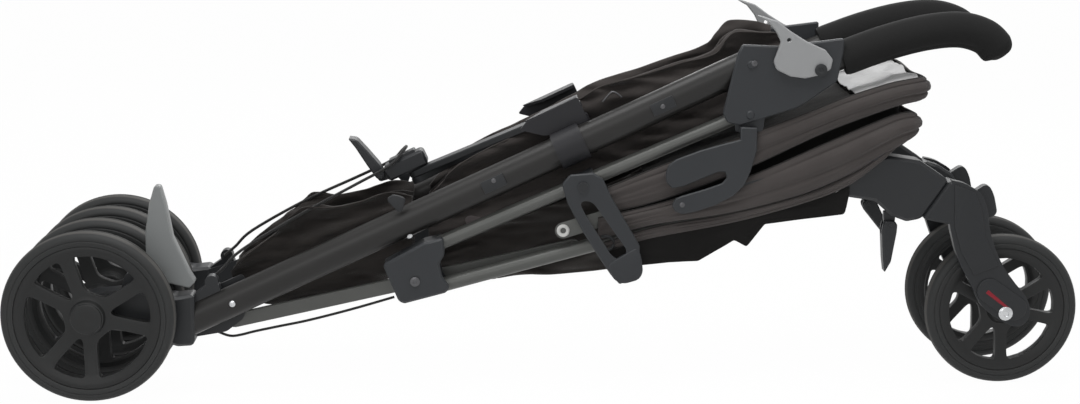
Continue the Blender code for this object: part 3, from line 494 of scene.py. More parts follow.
def roundCorners(piece, width):
    # the corners of an outline cut across the piece turn into curves, each as far as its neighbours allow
    mesh = piece.data
    bm = bmesh.new()
    bm.from_mesh(mesh)
    weight = bm.edges.layers.float.new("bevel_weight_edge")
    for edge in bm.edges:
        run = edge.verts[1].co - edge.verts[0].co
        across = abs(run.y) > 0.985 * run.length
        if across and edge.is_manifold and edge.calc_face_angle(0.0) > math.radians(9):
            beside = [other for vert in edge.verts for other in vert.link_edges if other is not edge]
            edge[weight] = min(1.0, 0.46 * min(other.calc_length() for other in beside) / width)
    bm.to_mesh(mesh)
    bm.free()
    modifier = piece.modifiers.new("corners", "BEVEL")
    modifier.width = width
    modifier.segments = 4
    modifier.limit_method = "WEIGHT"
    modifier.use_clamp_overlap = False
    applyAll(piece)


def dressNode(name, finish, slot, rounding, corner):
    # a merged copy of the CAD mesh: flat facets joined, edges rounded, round stretches shaded smooth
    piece = addObject(name + "_skin", nodes[name].data.copy())
    pick(piece)
    bpy.ops.object.mode_set(mode="EDIT")
    bpy.ops.mesh.select_all(action="SELECT")
    bpy.ops.mesh.remove_doubles(threshold=0.00001)
    bpy.ops.mesh.dissolve_limited(angle_limit=math.radians(0.6))
    bpy.ops.object.mode_set(mode="OBJECT")
    if corner:
        roundCorners(piece, corner)
    if rounding:
        softBevel(piece, rounding, 2, 40)
    smoothOver(piece, 38)
    evenNormals = piece.modifiers.new("evenNormals", "WEIGHTED_NORMAL")
    evenNormals.keep_sharp = True
    applyAll(piece)
    return finishPiece(piece, finishes[finish], bodyOf[name], [name])


def dressFrame():
    for name, node in nodes.items():
        ending = next((part for part in frameValues if name.endswith(part)), None)
        if ending:
            dressNode(name, *frameValues[ending])
        elif name.endswith("axle"):
            node.data.materials.clear()
            node.data.materials.append(finishes["bareSteel"])


dressFrame()
print("the frame is dressed")

wheelValues = {
    # wheel: x, distance from the middle, tyre radius, tyre width, side of the cap, hub radius, hub is closed
    "outer_wheel": (-0.470, 0.097, 0.089, 0.024, 1.0, 0.017, True),
    "inner_wheel": (-0.470, 0.032, 0.089, 0.024, -1.0, 0.017, True),
    "front_wheel": (0.479, 0.050, 0.080, 0.022, 1.0, 0.014, False),
}
tyreValues = {
    # depth of the rim's seat under the tread, then one side of the tyre: its bead's heights over the seat
    # and their insets, its wall's depths under the tread and theirs, and the groove's depth and two y
    "seat": 0.0138,
    "bead": [(0.0, 0.001), (0.002, 0.0), (0.0045, 0.0), (0.0052, 0.0008), (0.006, 0.0002)],
    "wall": [(0.0055, 0.0002), (0.0028, 0.0018), (0.0011, 0.0045), (0.0003, 0.0075)],
    "groove": (0.0005, 0.0016, 0.0022),
}


def makeTyre(body, centre, radius, width):
    # a rounded tread with a fine groove round its middle and a raised bead against the rim
    half = width / 2
    seat = radius - tyreValues["seat"]
    depth, inner, outer = tyreValues["groove"]
    side = [(seat + up, inset - half) for up, inset in tyreValues["bead"]]
    side += [(radius - down, inset - half) for down, inset in tyreValues["wall"]]
    side += [(radius, -outer), (radius - depth, -inner)]
    profile = side + [(r, -y) for r, y in reversed(side)]
    tyre = turned(body + "_tread", [(r, centre[1] + y) for r, y in profile], centre, 96)
    smoothOver(tyre, 40)
    finishPiece(tyre, finishes["tyreRubber"], body, [body + "_tyre"])
    # the tread faces get the lighter copy of the rubber: painted highlight for the light from above
    tyre.data.materials.append(finishes["litTreadRubber"])
    for polygon in tyre.data.polygons:
        polygon.material_index = int(abs(polygon.normal.y) < 0.5)


def roundedCorner(before, corner, after, reach, steps=5):
    # a soft turn from the side that comes from before to the side that goes on to after
    before, corner, after = Vector(before), Vector(corner), Vector(after)
    start = corner + (before - corner).normalized() * min(reach, (before - corner).length * 0.45)
    end = corner + (after - corner).normalized() * min(reach, (after - corner).length * 0.45)
    turns = [k / steps for k in range(steps + 1)]
    return [tuple(start * (1 - t) ** 2 + corner * 2 * t * (1 - t) + end * t * t) for t in turns]


def windowOutline(centre, middle, halfAngle, spokeHalf, inner, outer, soft):
    # one window between two spokes of even width: its sides run along the spokes, its end along the rim
    def onSpoke(sign, radius):
        a = middle + sign * (halfAngle - math.asin(spokeHalf / radius))
        return (centre[0] + radius * math.cos(a), centre[2] + radius * math.sin(a))

    lowRight, lowLeft = onSpoke(-1, inner), onSpoke(1, inner)
    highRight, highLeft = onSpoke(-1, outer), onSpoke(1, outer)
    reach = halfAngle - math.asin(spokeHalf / outer)
    spread = reach - soft / outer
    arc = [middle - spread + 2 * spread * k / 8 for k in range(9)]
    rim = [(centre[0] + outer * math.cos(a), centre[2] + outer * math.sin(a)) for a in arc]
    outline = roundedCorner(lowRight, highRight, rim[0], soft) + rim[1:-1]
    outline += roundedCorner(rim[-1], highLeft, lowLeft, soft)
    outline += roundedCorner(highLeft, lowLeft, lowRight, soft * 0.8)
    return outline + roundedCorner(lowLeft, lowRight, highRight, soft * 0.8)


rimValues = {
    # where the three pairs of windows start, then each window's turn, half angle and inner radius as a share
    "turns": (10.0, 130.0, 250.0),
    "windows": ((0.0, 22.0, 0.275), (60.0, 38.0, 0.300)),
    "spokeHalf": 0.0066, "windowCorner": 0.0090, "windowEnd": 0.0105, "windowReach": 0.0105, "edge": 0.0006,
    # the section: insets from the tyre's seat with depths under its front and its back, and the disc between
    "seat": 0.0141, "back": 0.0019, "capDome": 0.0004, "capWall": 0.0036,
    "front": [(0.009, 0.003), (0.006, 0.0012), (0.0015, 0.0008), (0.0, 0.0016)],
    "rear": [(0.0, 0.0012), (0.005, 0.0012)],
    "discFront": [(0.0015, 0.0062), (0.006, 0.0052)], "discFrontEnd": (0.014, 0.0066),
    "discRear": (0.002, -0.0024), "discRearEnd": (0.008, -0.003),
}
hubValues = {
    # hub is closed: how far its cap stands out, its bore, and points of the cap as insets and depths
    True: (0.0028, 0.0063, [(0.0035, 0.0), (0.0015, 0.0006), (0.0008, 0.0026), (0.0, 0.003)]),
    False: (0.0009, 0.0053, [(0.002, 0.0), (0.0006, 0.0014), (0.0, 0.003)]),
}


def rimSection(seat, half, hub, closed):
    # the rim's closed profile of radius and distance from its middle plane
    stand, bore, shoulder = hubValues[closed]
    cap, back, axis = half + stand, -half - rimValues["back"], 0.00002
    end, depth = rimValues["discFrontEnd"]
    rearEnd, rearDepth = rimValues["discRearEnd"]
    root, rootDepth = rimValues["discRear"]
    section = [(axis, cap - rimValues["capDome"]) if closed else (bore, cap)]
    section += [(hub - inset, cap - down) for inset, down in shoulder]
    section += [(hub + out, y) for out, y in rimValues["discFront"]] + [(seat - end, depth)]
    section += [(seat - inset, half - down) for inset, down in rimValues["front"]]
    section += [(seat - inset, -half + up) for inset, up in rimValues["rear"]]
    section += [(seat - rearEnd, rearDepth), (hub + root, rootDepth), (hub, back), (bore, back)]
    if closed:
        section += [(bore, cap - rimValues["capWall"]), (axis, cap - rimValues["capWall"])]
    return section


def makeRim(body, centre, radius, width, outward, hub, closed):
    seat = radius - rimValues["seat"]
    placed = [(r, centre[1] + outward * y) for r, y in rimSection(seat, width / 2, hub, closed)]
    rim = turned(body + "_spokes", placed, centre, 72)
    low, high = centre[1] - rimValues["windowReach"], centre[1] + rimValues["windowReach"]
    spokeHalf = rimValues["spokeHalf"] * radius / wheelValues["outer_wheel"][2]
    for turn in rimValues["turns"]:
        for at, halfAngle, start in rimValues["windows"]:
            outline = windowOutline(
                centre, math.radians(turn + at), math.radians(halfAngle), spokeHalf, start * radius,
                seat - rimValues["windowEnd"], rimValues["windowCorner"],
            )
            takeAway(rim, plateOf("window", outline, low, high))
    softBevel(rim, rimValues["edge"], 2, 50)
    smoothOver(rim, 40)
    return finishPiece(rim, finishes["rimPlastic"], body, [body + "_rim"])


def makeWheels():
    for side, s in bothSides:
        for wheel, (x, y, radius, width, cap, hub, closed) in wheelValues.items():
            body, centre = side + "_" + wheel, (x, s * y, radius)
            makeTyre(body, centre, radius, width)
            makeRim(body, centre, radius, width, s * cap, hub, closed)


makeWheels()
print("the wheels are turned")


def sewCloth(name, rows, thickness, finish, finer=1):
    # rows of points make one sheet, with a UV map in metres along and across the cloth
    bm = bmesh.new()
    layer = bm.loops.layers.uv.new("cloth")
    grid = [[bm.verts.new(point) for point in row] for row in rows]
    across = [0.0]
    for first, second in zip(rows[len(rows) // 2], rows[len(rows) // 2][1:]):
        across.append(across[-1] + (Vector(second) - Vector(first)).length)
    middle = len(rows[0]) // 2
    along = [0.0]
    for first, second in zip(rows, rows[1:]):
        along.append(along[-1] + (Vector(second[middle]) - Vector(first[middle])).length)
    for i in range(len(rows) - 1):
        for j in range(len(rows[0]) - 1):
            face = bm.faces.new((grid[i][j], grid[i + 1][j], grid[i + 1][j + 1], grid[i][j + 1]))
            for loop, (a, b) in zip(face.loops, ((i, j), (i + 1, j), (i + 1, j + 1), (i, j + 1))):
                loop[layer].uv = (across[b], along[a])
    piece = objectFrom(bm, name)
    flatArea = sum(polygon.area for polygon in piece.data.polygons)
    width = across[-1]
    if finer:
        smoother = piece.modifiers.new("smoother", "SUBSURF")
        smoother.levels = finer
        smoother.render_levels = finer
    shell = piece.modifiers.new("shell", "SOLIDIFY")
    shell.thickness = thickness
    shell.offset = 0.0
    applyAll(piece)
    pick(piece)
    bpy.ops.object.shade_smooth()
    piece.data.materials.append(finishes[finish])
    return piece, (width, flatArea / width)


def layCloth(node=None):
    if node:
        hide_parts(node)


gatherValues = {
    # steps along the cloth and in each pleat, thickness, direction of the creases in x and z
    "along": 110, "perPleat": 56, "thickness": 0.0014, "crease": (0.92, 0.39),
}


def bunchOf(name, finish, xFrom, xTo, top, bottom, reach, pleats, loose, seed, dips):
    # cloth gathered between the two side frames: pleats side by side, with long soft creases along them
    rows = []
    along, perPleat = gatherValues["along"], gatherValues["perPleat"]
    creaseX, creaseZ = gatherValues["crease"]
    for i in range(along + 1):
        x = xFrom + (xTo - xFrom) * i / along
        high, low = mixAt(top, x), mixAt(bottom, x)
        ends = easeIn(x, xFrom, xFrom + 0.02) * (1 - easeIn(x, xTo - 0.02, xTo))
        row = []
        for j in range(pleats * perPleat + 1):
            t = j / (pleats * perPleat)
            phase = t * pleats
            wave = 0.5 - 0.5 * math.cos(math.tau * phase)
            pleat = math.floor(phase + 0.5)
            lower = dips[0] * (1 + lumpAt(x * 7.0, pleat * 3.1, seed)) * (0 < pleat < pleats)
            deep = 1.0 - dips[1] * (1 + lumpAt(x * 6.0, math.floor(phase) * 2.3, seed + 5.0))
            reached = lower + (deep - lower) * wave
            z = high - (high - low) * reached
            ahead, across = x * creaseX + z * creaseZ, z * creaseX - x * creaseZ
            crease = lumpAt(ahead * 7.0 + seed, across * 62.0, phase * 0.8)
            crease += 0.6 * abs(lumpAt(ahead * 12.0, across * 95.0 + ahead * 30.0, seed))
            fine = lumpAt(x * 22.0, z * 130.0, phase * 1.3 + seed)
            y = (t * 2 - 1) * (reach - 0.5 * loose) + loose * crease + 0.3 * loose * fine
            y = max(-reach, min(reach, y))
            drift = 0.5 * loose * lumpAt(x * 8.0, pleat * 1.9, seed + 9.0)
            row.append((x + 0.6 * loose * crease * ends, y, z + drift * ends))
        rows.append(row)
    return sewCloth(name, rows, gatherValues["thickness"], finish, 0)


mainTubeValues = {"start": (-0.322, 0.0985), "slope": 24.73}


def mainPoint(u, v):
    # the x and z of a point u along the main tube and v above its middle line
    (x, z), turn = mainTubeValues["start"], math.radians(mainTubeValues["slope"])
    return (x + u * math.cos(turn) - v * math.sin(turn), z + u * math.sin(turn) + v * math.cos(turn))


bunchValues = {
    # piece: its node, finish, x from and to, top line, bottom line, reach, pleats, looseness, seed, dips
    "seatCloth": (
        "seat_fabric", "seatCloth", -0.118, 0.100,
        [(-0.118, 0.142), (-0.060, 0.166), (0.006, 0.191), (0.050, 0.209), (0.100, 0.229)],
        [(-0.118, 0.114), (-0.070, 0.101), (-0.028, 0.104), (0.014, 0.108), (0.056, 0.114), (0.077, 0.120),
         (0.100, 0.140)],
        0.0425, 3, 0.010, 2.0, (0.02, 0.10),
    ),
    "backrestCloth": (
        "backrest_fabric", "backCloth", -0.124, 0.242,
        [(-0.124, 0.200), (-0.086, 0.238), (-0.028, 0.268), (0.014, 0.290), (0.040, 0.305), (0.055, 0.313),
         (0.096, 0.325), (0.138, 0.340), (0.176, 0.353), (0.188, 0.369), (0.198, 0.375), (0.242, 0.370)],
        [(-0.124, 0.143), (-0.106, 0.152), (-0.060, 0.171), (0.006, 0.196), (0.100, 0.235), (0.164, 0.262),
         (0.200, 0.278), (0.242, 0.300)],
        0.0420, 3, 0.010, 4.0, (0.07, 0.02),
    ),
    "basketCloth": (
        "basket_fabric", "basketCloth", -0.332, -0.141,
        [(-0.332, 0.120), (-0.318, 0.136), (-0.289, 0.160), (-0.262, 0.184), (-0.252, 0.190), (-0.226, 0.188),
         (-0.195, 0.194), (-0.166, 0.204), (-0.141, 0.200)],
        [(-0.332, 0.100), (-0.300, 0.079), (-0.262, 0.079), (-0.214, 0.085), (-0.176, 0.097),
         (-0.141, 0.120)],
        0.0430, 3, 0.010, 7.0, (0.06, 0.08),
    ),
}


def makeBunches():
    for name, (node, finish, xFrom, xTo, top, bottom, reach, *folds) in bunchValues.items():
        cloth, flat = bunchOf(name, finish, xFrom, xTo, top, bottom, reach, *folds)
        layCloth(node)
        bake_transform(cloth)


makeBunches()
print("seat, backrest and basket are gathered")

canopyValues = {
    # lobe: its node, bodies, x from and to, top and bottom line, y of its wall, bulge at and past the clip
    "canopyTop": (
        "canopy_rear_fabric", ("right_main", "left_main"), 0.062, 0.386,
        [(0.062, 0.216), (0.130, 0.243), (0.257, 0.289), (0.302, 0.307), (0.330, 0.3165), (0.356, 0.324),
         (0.386, 0.329)],
        [(0.062, 0.190), (0.105, 0.200), (0.156, 0.217), (0.211, 0.239), (0.284, 0.273), (0.345, 0.296),
         (0.368, 0.303), (0.386, 0.306)],
        0.0764, 0.0060, 0.0085,
    ),
    "canopyMiddle": (
        "canopy_front_fabric", ("right_bow", "left_bow"), 0.052, 0.377,
        [(0.052, 0.184), (0.105, 0.196), (0.156, 0.211), (0.211, 0.228), (0.284, 0.260), (0.340, 0.284),
         (0.362, 0.292), (0.377, 0.292)],
        [(0.052, 0.160), (0.084, 0.171), (0.112, 0.178), (0.187, 0.189), (0.261, 0.208), (0.311, 0.229),
         (0.340, 0.246), (0.360, 0.258), (0.377, 0.268)],
        0.0764, 0.0062, 0.0100,
    ),
    "canopyLow": (
        None, ("right_bow", "left_bow"), 0.058, 0.358,
        [(0.058, 0.158), (0.112, 0.174), (0.187, 0.187), (0.261, 0.206), (0.311, 0.228), (0.345, 0.252),
         (0.358, 0.262)],
        [(0.058, 0.148), (0.105, 0.162), (0.188, 0.178), (0.261, 0.198), (0.309, 0.217), (0.345, 0.244),
         (0.358, 0.256)],
        0.0758, 0.0030, 0.0050,
    ),
}
coreValues = {
    # a dark sheet in the valleys between the lobes: painted shade that stands for the shadow there
    "canopyValleyShade": (
        None, ("right_bow", "left_bow"), 0.085, 0.366,
        [(0.085, 0.196), (0.211, 0.243), (0.284, 0.278), (0.345, 0.301), (0.366, 0.309)],
        [(0.085, 0.168), (0.187, 0.185), (0.261, 0.204), (0.311, 0.225), (0.345, 0.246), (0.366, 0.262)],
        0.0555, 0.0, 0.0,
    ),
}
tailValues = {
    "top": [(0.052, 0.150), (0.105, 0.163), (0.188, 0.179), (0.261, 0.198), (0.300, 0.211), (0.311, 0.216)],
    "bottom": [(0.052, 0.146), (0.066, 0.134), (0.080, 0.124), (0.097, 0.134), (0.127, 0.137),
               (0.156, 0.138), (0.193, 0.160), (0.206, 0.153), (0.224, 0.177), (0.265, 0.182),
               (0.307, 0.187), (0.311, 0.210)],
    "side": 0.0748, "along": 140, "down": 16, "wave": 0.0030, "thickness": 0.0010,
}
liningValues = {
    # piece: finish, x from, x to, half width, height below the hood's top edge, size of its crumples
    # the roof's near-black finish is painted shade for the dark gap under the side plate
    "canopyRoofShade": ("canopyTailCloth", 0.090, 0.316, 0.0570, 0.0060, 0.0016),
    "canopyLining": ("liningCloth", 0.3145, 0.379, 0.0735, -0.0005, 0.0048),
}
liningSheet = {"along": 32, "across": 48, "thickness": 0.0009}


def wallProfile(t):
    # how far the cloth stands out between its bottom edge, t = 0, and its top edge, t = 1
    belly = math.sin(math.pi * t) ** 0.55 if 0 < t < 1 else 0.0
    seam = 0.30 * math.exp(-(((t - 0.82) / 0.030) ** 2))
    fold = 0.30 * math.exp(-(((t - 0.36) / 0.075) ** 2))
    return belly - seam - fold


def lobePlan(xFrom, xTo, side, corner=0.013, wallSteps=56, cornerSteps=8, frontSteps=24):
    # points and outward directions from the near wall round the end of the bows to the far wall
    plan = [(xFrom + (xTo - corner - xFrom) * i / wallSteps, -side, 0.0, -1.0) for i in range(wallSteps + 1)]
    for i in range(1, cornerSteps):
        a = math.pi / 2 * i / cornerSteps
        ahead, aside = math.sin(a), -math.cos(a)
        plan.append((xTo - corner + corner * ahead, -side + corner + corner * aside, ahead, aside))
    near = list(plan)
    span = 2 * (side - corner)
    plan += [(xTo, -side + corner + span * i / frontSteps, 1.0, 0.0) for i in range(frontSteps + 1)]
    return plan + [(x, -y, nx, -ny) for x, y, nx, ny in reversed(near)]


lobeValues = {
    # rows up the wall, share of the bulge at the near end and how far it grows, where it passes the clip,
    # sag of the front, inset of its edges, size of the broad and of the fine creases, thickness, piping
    "rows": 26, "thinShare": 0.35, "growth": 0.06, "clip": (0.225, 0.290),
    "sag": 0.003, "inset": 0.0016, "broad": 0.0020, "fine": 0.0005, "thickness": 0.0012, "piping": 0.0011,
}


def makeLobe(name, node, bodies, xFrom, xTo, top, bottom, side, bulge, bulgeEnd, finish="canopyCloth"):
    rows = []
    wide, thin = lobeValues["rows"], lobeValues["thinShare"]
    for x, y, nx, ny in lobePlan(xFrom, xTo, side):
        high, low = mixAt(top, x), mixAt(bottom, x)
        amount = bulge * (thin + (1 - thin) * easeIn(x, xFrom, xFrom + lobeValues["growth"]))
        amount += (bulgeEnd - bulge) * easeIn(x, *lobeValues["clip"])
        sag = lobeValues["sag"] * math.cos(math.pi * y / (2 * side)) ** 2
        row = []
        for j in range(wide + 1):
            t = j / wide
            broad = lumpAt(x * 9.0, y * 9.0, t * 4.0) * math.sin(math.pi * t)
            fine = lumpAt(x * 30.0, y * 30.0, t * 14.0)
            out = amount * wallProfile(t) - lobeValues["inset"]
            out += lobeValues["broad"] * broad + lobeValues["fine"] * fine
            row.append((x + nx * out, y + ny * out, low + (high - low) * t - sag))
        rows.append(row)
    cloth, flat = sewCloth(name, rows, lobeValues["thickness"], finish)
    layCloth(node)
    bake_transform(cloth)
    for edge, column in (("TopPiping", wide), ("LowPiping", 0)):
        route = [Vector(row[column]) for row in rows]
        piping = layTube(name + edge, route, lobeValues["piping"], "canopyPiping", 8)[0]
        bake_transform(piping)


def makeTails():
    # the loose end of the hood that hangs below the lobes on each side
    top, bottom, along, down = (tailValues[key] for key in ("top", "bottom", "along", "down"))
    for side, s in bothSides:
        rows = []
        for i in range(along + 1):
            x = top[0][0] + (top[-1][0] - top[0][0]) * i / along
            high, low = mixAt(top, x), straightAt(bottom, x)
            row = []
            for j in range(down + 1):
                t = j / down
                wave = tailValues["wave"] * lumpAt(x * 22.0 + t * 3.0, t * 2.2, 3.0 * s)
                row.append((x, s * (tailValues["side"] + wave * (1 - t)), low + (high - low) * t))
            rows.append(row)
        # the tail's near-black cloth is painted shade for the shadow under the lobes
        tail, flat = sewCloth(side + "CanopyTail", rows, tailValues["thickness"], "canopyTailCloth")
        layCloth()
        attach(tail, side + "_bow")


def makeLining():
    # the cloth between the top edges of the folded hood: a near-black sheet of painted shade, then the pale
    # lining that shows at its end
    top = canopyValues["canopyTop"][4]
    along, wide, thickness = liningSheet.values()
    for name, (finish, xFrom, xTo, reach, below, crumple) in liningValues.items():
        rows = []
        for i in range(along + 1):
            x = xFrom + (xTo - xFrom) * i / along
            row = []
            for j in range(wide + 1):
                y = reach * (2 * j / wide - 1)
                lump = lumpAt(x * 40.0, y * 26.0, 2.0)
                lump += 0.45 * lumpAt(x * 90.0, y * 70.0, 6.0)
                row.append((x, y, mixAt(top, x) - below + crumple * lump * (1 - (abs(y) / reach) ** 6)))
            rows.append(row)
        lining, flat = sewCloth(name, rows, thickness, finish)
        layCloth()
        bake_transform(lining)


def makeCanopy():
    for name, values in canopyValues.items():
        makeLobe(name, *values)
    for name, values in coreValues.items():
        makeLobe(name, *values, "canopyTailCloth")
    makeTails()
    makeLining()


cordValues = {
    # the routes are in millimetres
    "cableRadius": 0.0016,
    "edgeRadius": 0.0014,
    "cable": [(-350, -54.1, 118), (-338, -54.1, 128), (-318, -50, 147), (-260, -41, 181), (-200, -24, 211),
              (-165, -16, 229), (-152, -9, 242), (-148, -3, 246.5)],
    "edge": [(-352, -48.2, 62.5), (-341, -48.6, 57), (-331, -51.3, 55), (-320, -51.4, 56.5),
             (-306, -51.4, 60), (-282, -51.4, 65), (-250, -51.4, 71.5), (-205, -51.4, 83), (-160, -51.4, 96)],
}


def smoothRoute(points, steps=6):
    # a smooth line through the points
    route = []
    for i in range(len(points) - 1):
        p0 = points[max(i - 1, 0)]
        p1, p2 = points[i], points[i + 1]
        p3 = points[min(i + 2, len(points) - 1)]
        for k in range(steps):
            t = k / steps
            bend = (2 * p0 - 5 * p1 + 4 * p2 - p3) * t * t + (3 * p1 - p0 - 3 * p2 + p3) * t ** 3
            route.append(0.5 * ((2 * p1) + (p2 - p0) * t + bend))
    route.append(points[-1])
    return route


def joinRings(bm, rings):
    # faces between the rings, then one over each end
    faces = []
    for first, second in zip(rings, rings[1:]):
        for k in range(len(first)):
            n = (k + 1) % len(first)
            faces.append(bm.faces.new((first[k], first[n], second[n], second[k])))
    bm.faces.new(rings[0])
    bm.faces.new(list(reversed(rings[-1])))
    return faces


def headingAt(route, i):
    return (route[min(i + 1, len(route) - 1)] - route[max(i - 1, 0)]).normalized()


def layTube(name, route, radius, finish, around=12):
    bm = bmesh.new()
    layer = bm.loops.layers.uv.new("cloth")
    rings, lengths = [], [0.0]
    turns = [math.tau * k / around for k in range(around)]
    for i, point in enumerate(route):
        direction = headingAt(route, i)
        side = direction.cross(Vector((0.0, 0.0, 1.0))).normalized()
        up = side.cross(direction)
        rings.append([bm.verts.new(point + (side * math.cos(a) + up * math.sin(a)) * radius) for a in turns])
        if i:
            lengths.append(lengths[-1] + (point - route[i - 1]).length)
    for count, face in enumerate(joinRings(bm, rings)):
        i, k = divmod(count, around)
        for loop, (a, b) in zip(face.loops, ((k, i), (k + 1, i), (k + 1, i + 1), (k, i + 1))):
            loop[layer].uv = (a / around * math.tau * radius, lengths[b])
    piece = objectFrom(bm, name)
    cleanUp(piece)
    pick(piece)
    bpy.ops.object.shade_smooth()
    piece.data.materials.append(finishes[finish])
    return piece, lengths[-1]


def makeCords():
    edge = smoothRoute([Vector(p) / 1000 for p in cordValues["edge"]])
    piece, length = layTube("basketEdgeCord", edge, cordValues["edgeRadius"], "cordBraid")
    finishPiece(piece, finishes["cordBraid"], "right_main", ["basket_cord"])
    half = [Vector(p) / 1000 for p in cordValues["cable"]]
    mirror = [Vector((p.x, -p.y, p.z)) for p in reversed(half)]
    cable = layTube("brakeCable", smoothRoute(half + mirror), cordValues["cableRadius"], "cordBraid")[0]
    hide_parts("brake_cable")
    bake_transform(cable)


gripValues = {
    # the route and y are in millimetres
    "route": [(300.5, 347.0), (344.0, 362.8), (385.0, 373.4), (420.0, 376.5), (446.0, 369.5), (460.0, 356.5),
              (465.0, 349.5)],
    "y": 65.0, "radius": 0.0184, "around": 48,
    "crease": 0.0016, "creaseTurn": 52.0, "creaseWidth": 0.10,
    "creaseStart": (0.02, 0.05), "creaseEnd": (0.01, 0.05),
    "endRound": 0.012, "endFlat": 0.0132, "startRound": 0.004, "startShare": 0.93,
}


def gripShare(fromStart, fromEnd):
    # the share of the full radius: rounded at the outer end, a little drawn in at the inner one
    if fromEnd < gripValues["endRound"]:
        return math.sqrt(max(0.0, 1 - ((gripValues["endRound"] - fromEnd) / gripValues["endFlat"]) ** 2))
    if fromStart < gripValues["startRound"]:
        share = gripValues["startShare"]
        return share + (1 - share) * fromStart / gripValues["startRound"]
    return 1.0


def makeGrips():
    # foam sleeves with a rounded end and the seam that runs along their upper outer side
    turns = [math.tau * k / gripValues["around"] for k in range(gripValues["around"])]
    creaseTurn, creaseWidth = math.radians(gripValues["creaseTurn"]), gripValues["creaseWidth"]
    seams = [gripValues["crease"] * math.exp(-(((a - creaseTurn) / creaseWidth) ** 2)) for a in turns]
    for side, s in bothSides:
        route = smoothRoute([Vector((x, s * gripValues["y"], z)) / 1000 for x, z in gripValues["route"]], 10)
        total = sum((b - a).length for a, b in zip(route, route[1:]))
        bm = bmesh.new()
        rings = []
        gone = 0.0
        for i, point in enumerate(route):
            if i:
                gone += (point - route[i - 1]).length
            outward = Vector((0.0, s, 0.0))
            up = headingAt(route, i).cross(outward).normalized() * -s
            full = gripValues["radius"] * gripShare(gone, total - gone)
            fade = easeIn(gone, *gripValues["creaseStart"]) * easeIn(total - gone, *gripValues["creaseEnd"])
            ring = []
            for a, seam in zip(turns, seams):
                away = outward * math.cos(a) + up * math.sin(a)
                ring.append(bm.verts.new(point + away * (full - seam * fade)))
            rings.append(ring)
        joinRings(bm, rings)
        grip = objectFrom(bm, side + "FoamGrip")
        cleanUp(grip)
        smoothOver(grip, 60)
        finishPiece(grip, finishes["gripFoam"], side + "_main", [side + "_grip"])


makeGrips()
makeCanopy()
print("the grips are on and the hood is folded")
makeCords()
print("the cords are laid")

fastenerValues = {
    # name: ending of its body, finish, centre x and z, foot's distance from the middle, radius and height
    "footRivet": ("main", "bareSteel", -0.326, 0.096, 0.0770, 0.0034, 0.0016),
    "lowClipScrew": ("main", "darkSteel", -0.0555, 0.2245, 0.0791, 0.0024, 0.0008),
    "highClipScrew": ("main", "darkSteel", 0.117, 0.3005, 0.0791, 0.0024, 0.0008),
    "tubeStud": ("main", "bareSteel", -0.142, 0.1650, 0.0690, 0.0034, 0.0030),
    "plateRivetTop": ("main", "darkSteel", 0.209, 0.345, 0.0846, 0.0030, 0.0008),
    "kneeRivet": ("upper", "darkSteel", -0.137, 0.1197, 0.0830, 0.0050, 0.0014),
    "leverScrew": ("main", "blackPlastic", 0.2758, 0.3387, 0.0905, 0.0064, 0.0012),
    "clipScrew": ("main", "darkSteel", 0.1374, 0.1999, 0.0875, 0.0026, 0.0008),
    "axleScrew": ("caster", "bareSteel", 0.479, 0.080, 0.0765, 0.0066, 0.0016),
}
tubeClipValues = {
    # the two dark clips on the face of each main tube
    "places": {"lowTubeClip": 0.2935, "highTubeClip": 0.4840},
    "halfLong": 0.0125, "halfHigh": 0.0065, "inner": 0.0772, "outer": 0.0791, "edge": 0.0007,
}


def sided(side, name):
    return side + name[0].upper() + name[1:]


def plateFrom(name, outline, s, values):
    return plateOf(name, outline, s * values["inner"], s * values["outer"])


def domeHead(name, x, z, s, foot, radius, height, finish, body):
    # a turned head with a soft edge and a small recess in its middle
    edge = height * 0.45
    profile = [(radius, 0.0), (radius, edge), (radius * 0.80, height * 0.88), (radius * 0.45, height)]
    profile += [(radius * 0.38, edge), (0.00001, edge), (0.00001, 0.0)]
    head = turned(name, [(r, s * (foot + up)) for r, up in profile], (x, 0.0, z), 24)
    smoothOver(head, 50)
    return finishPiece(head, finishes[finish], body)


def makeFasteners():
    long, high = tubeClipValues["halfLong"], tubeClipValues["halfHigh"]
    corners = ((-long, -high), (long, -high), (long, high), (-long, high))
    for side, s in bothSides:
        for name, (ending, finish, x, z, *sizes) in fastenerValues.items():
            domeHead(sided(side, name), x, z, s, *sizes, finish, side + "_" + ending)
        for name, u in tubeClipValues["places"].items():
            outline = [mainPoint(u + ahead, up) for ahead, up in corners]
            clip = plateFrom(sided(side, name), outline, s, tubeClipValues)
            softBevel(clip, tubeClipValues["edge"])
            smoothOver(clip)
            finishPiece(clip, finishes["blackPlastic"], side + "_main")


stripeValues = {
    "from": (0.4585, 0.1038), "to": (0.4831, 0.0841), "half": 0.0021, "narrowing": 0.6,
    "inner": 0.0752, "outer": 0.0757,
}


def makeStripe():
    # the plain red stripe above the axle on each fork
    start, end = Vector(stripeValues["from"]), Vector(stripeValues["to"])
    along = (end - start).normalized()
    across = Vector((-along.y, along.x)) * stripeValues["half"]
    thin = across * stripeValues["narrowing"]
    outline = [tuple(corner) for corner in (start - across, end - thin, end + thin, start + across)]
    for side, s in bothSides:
        stripe = plateFrom(side + "ForkStripe", outline, s, stripeValues)
        finishPiece(stripe, finishes["redPaint"], side + "_caster")


podValues = {
    "from": (0.4610, 0.1044), "to": (0.4882, 0.0855), "radius": 0.0128, "hole": 0.0074,
    "inner": 0.0736, "outer": 0.0753, "edge": 0.0009,
}
panelValues = {
    "outline": [(0.4206, 0.2174), (0.4417, 0.2089), (0.4496, 0.1908), (0.4550, 0.1606), (0.4694, 0.1314),
                (0.4559, 0.1257), (0.4442, 0.1212), (0.4300, 0.1456), (0.4218, 0.1729)],
    "inner": 0.0736, "outer": 0.0747, "edge": 0.0008,
}


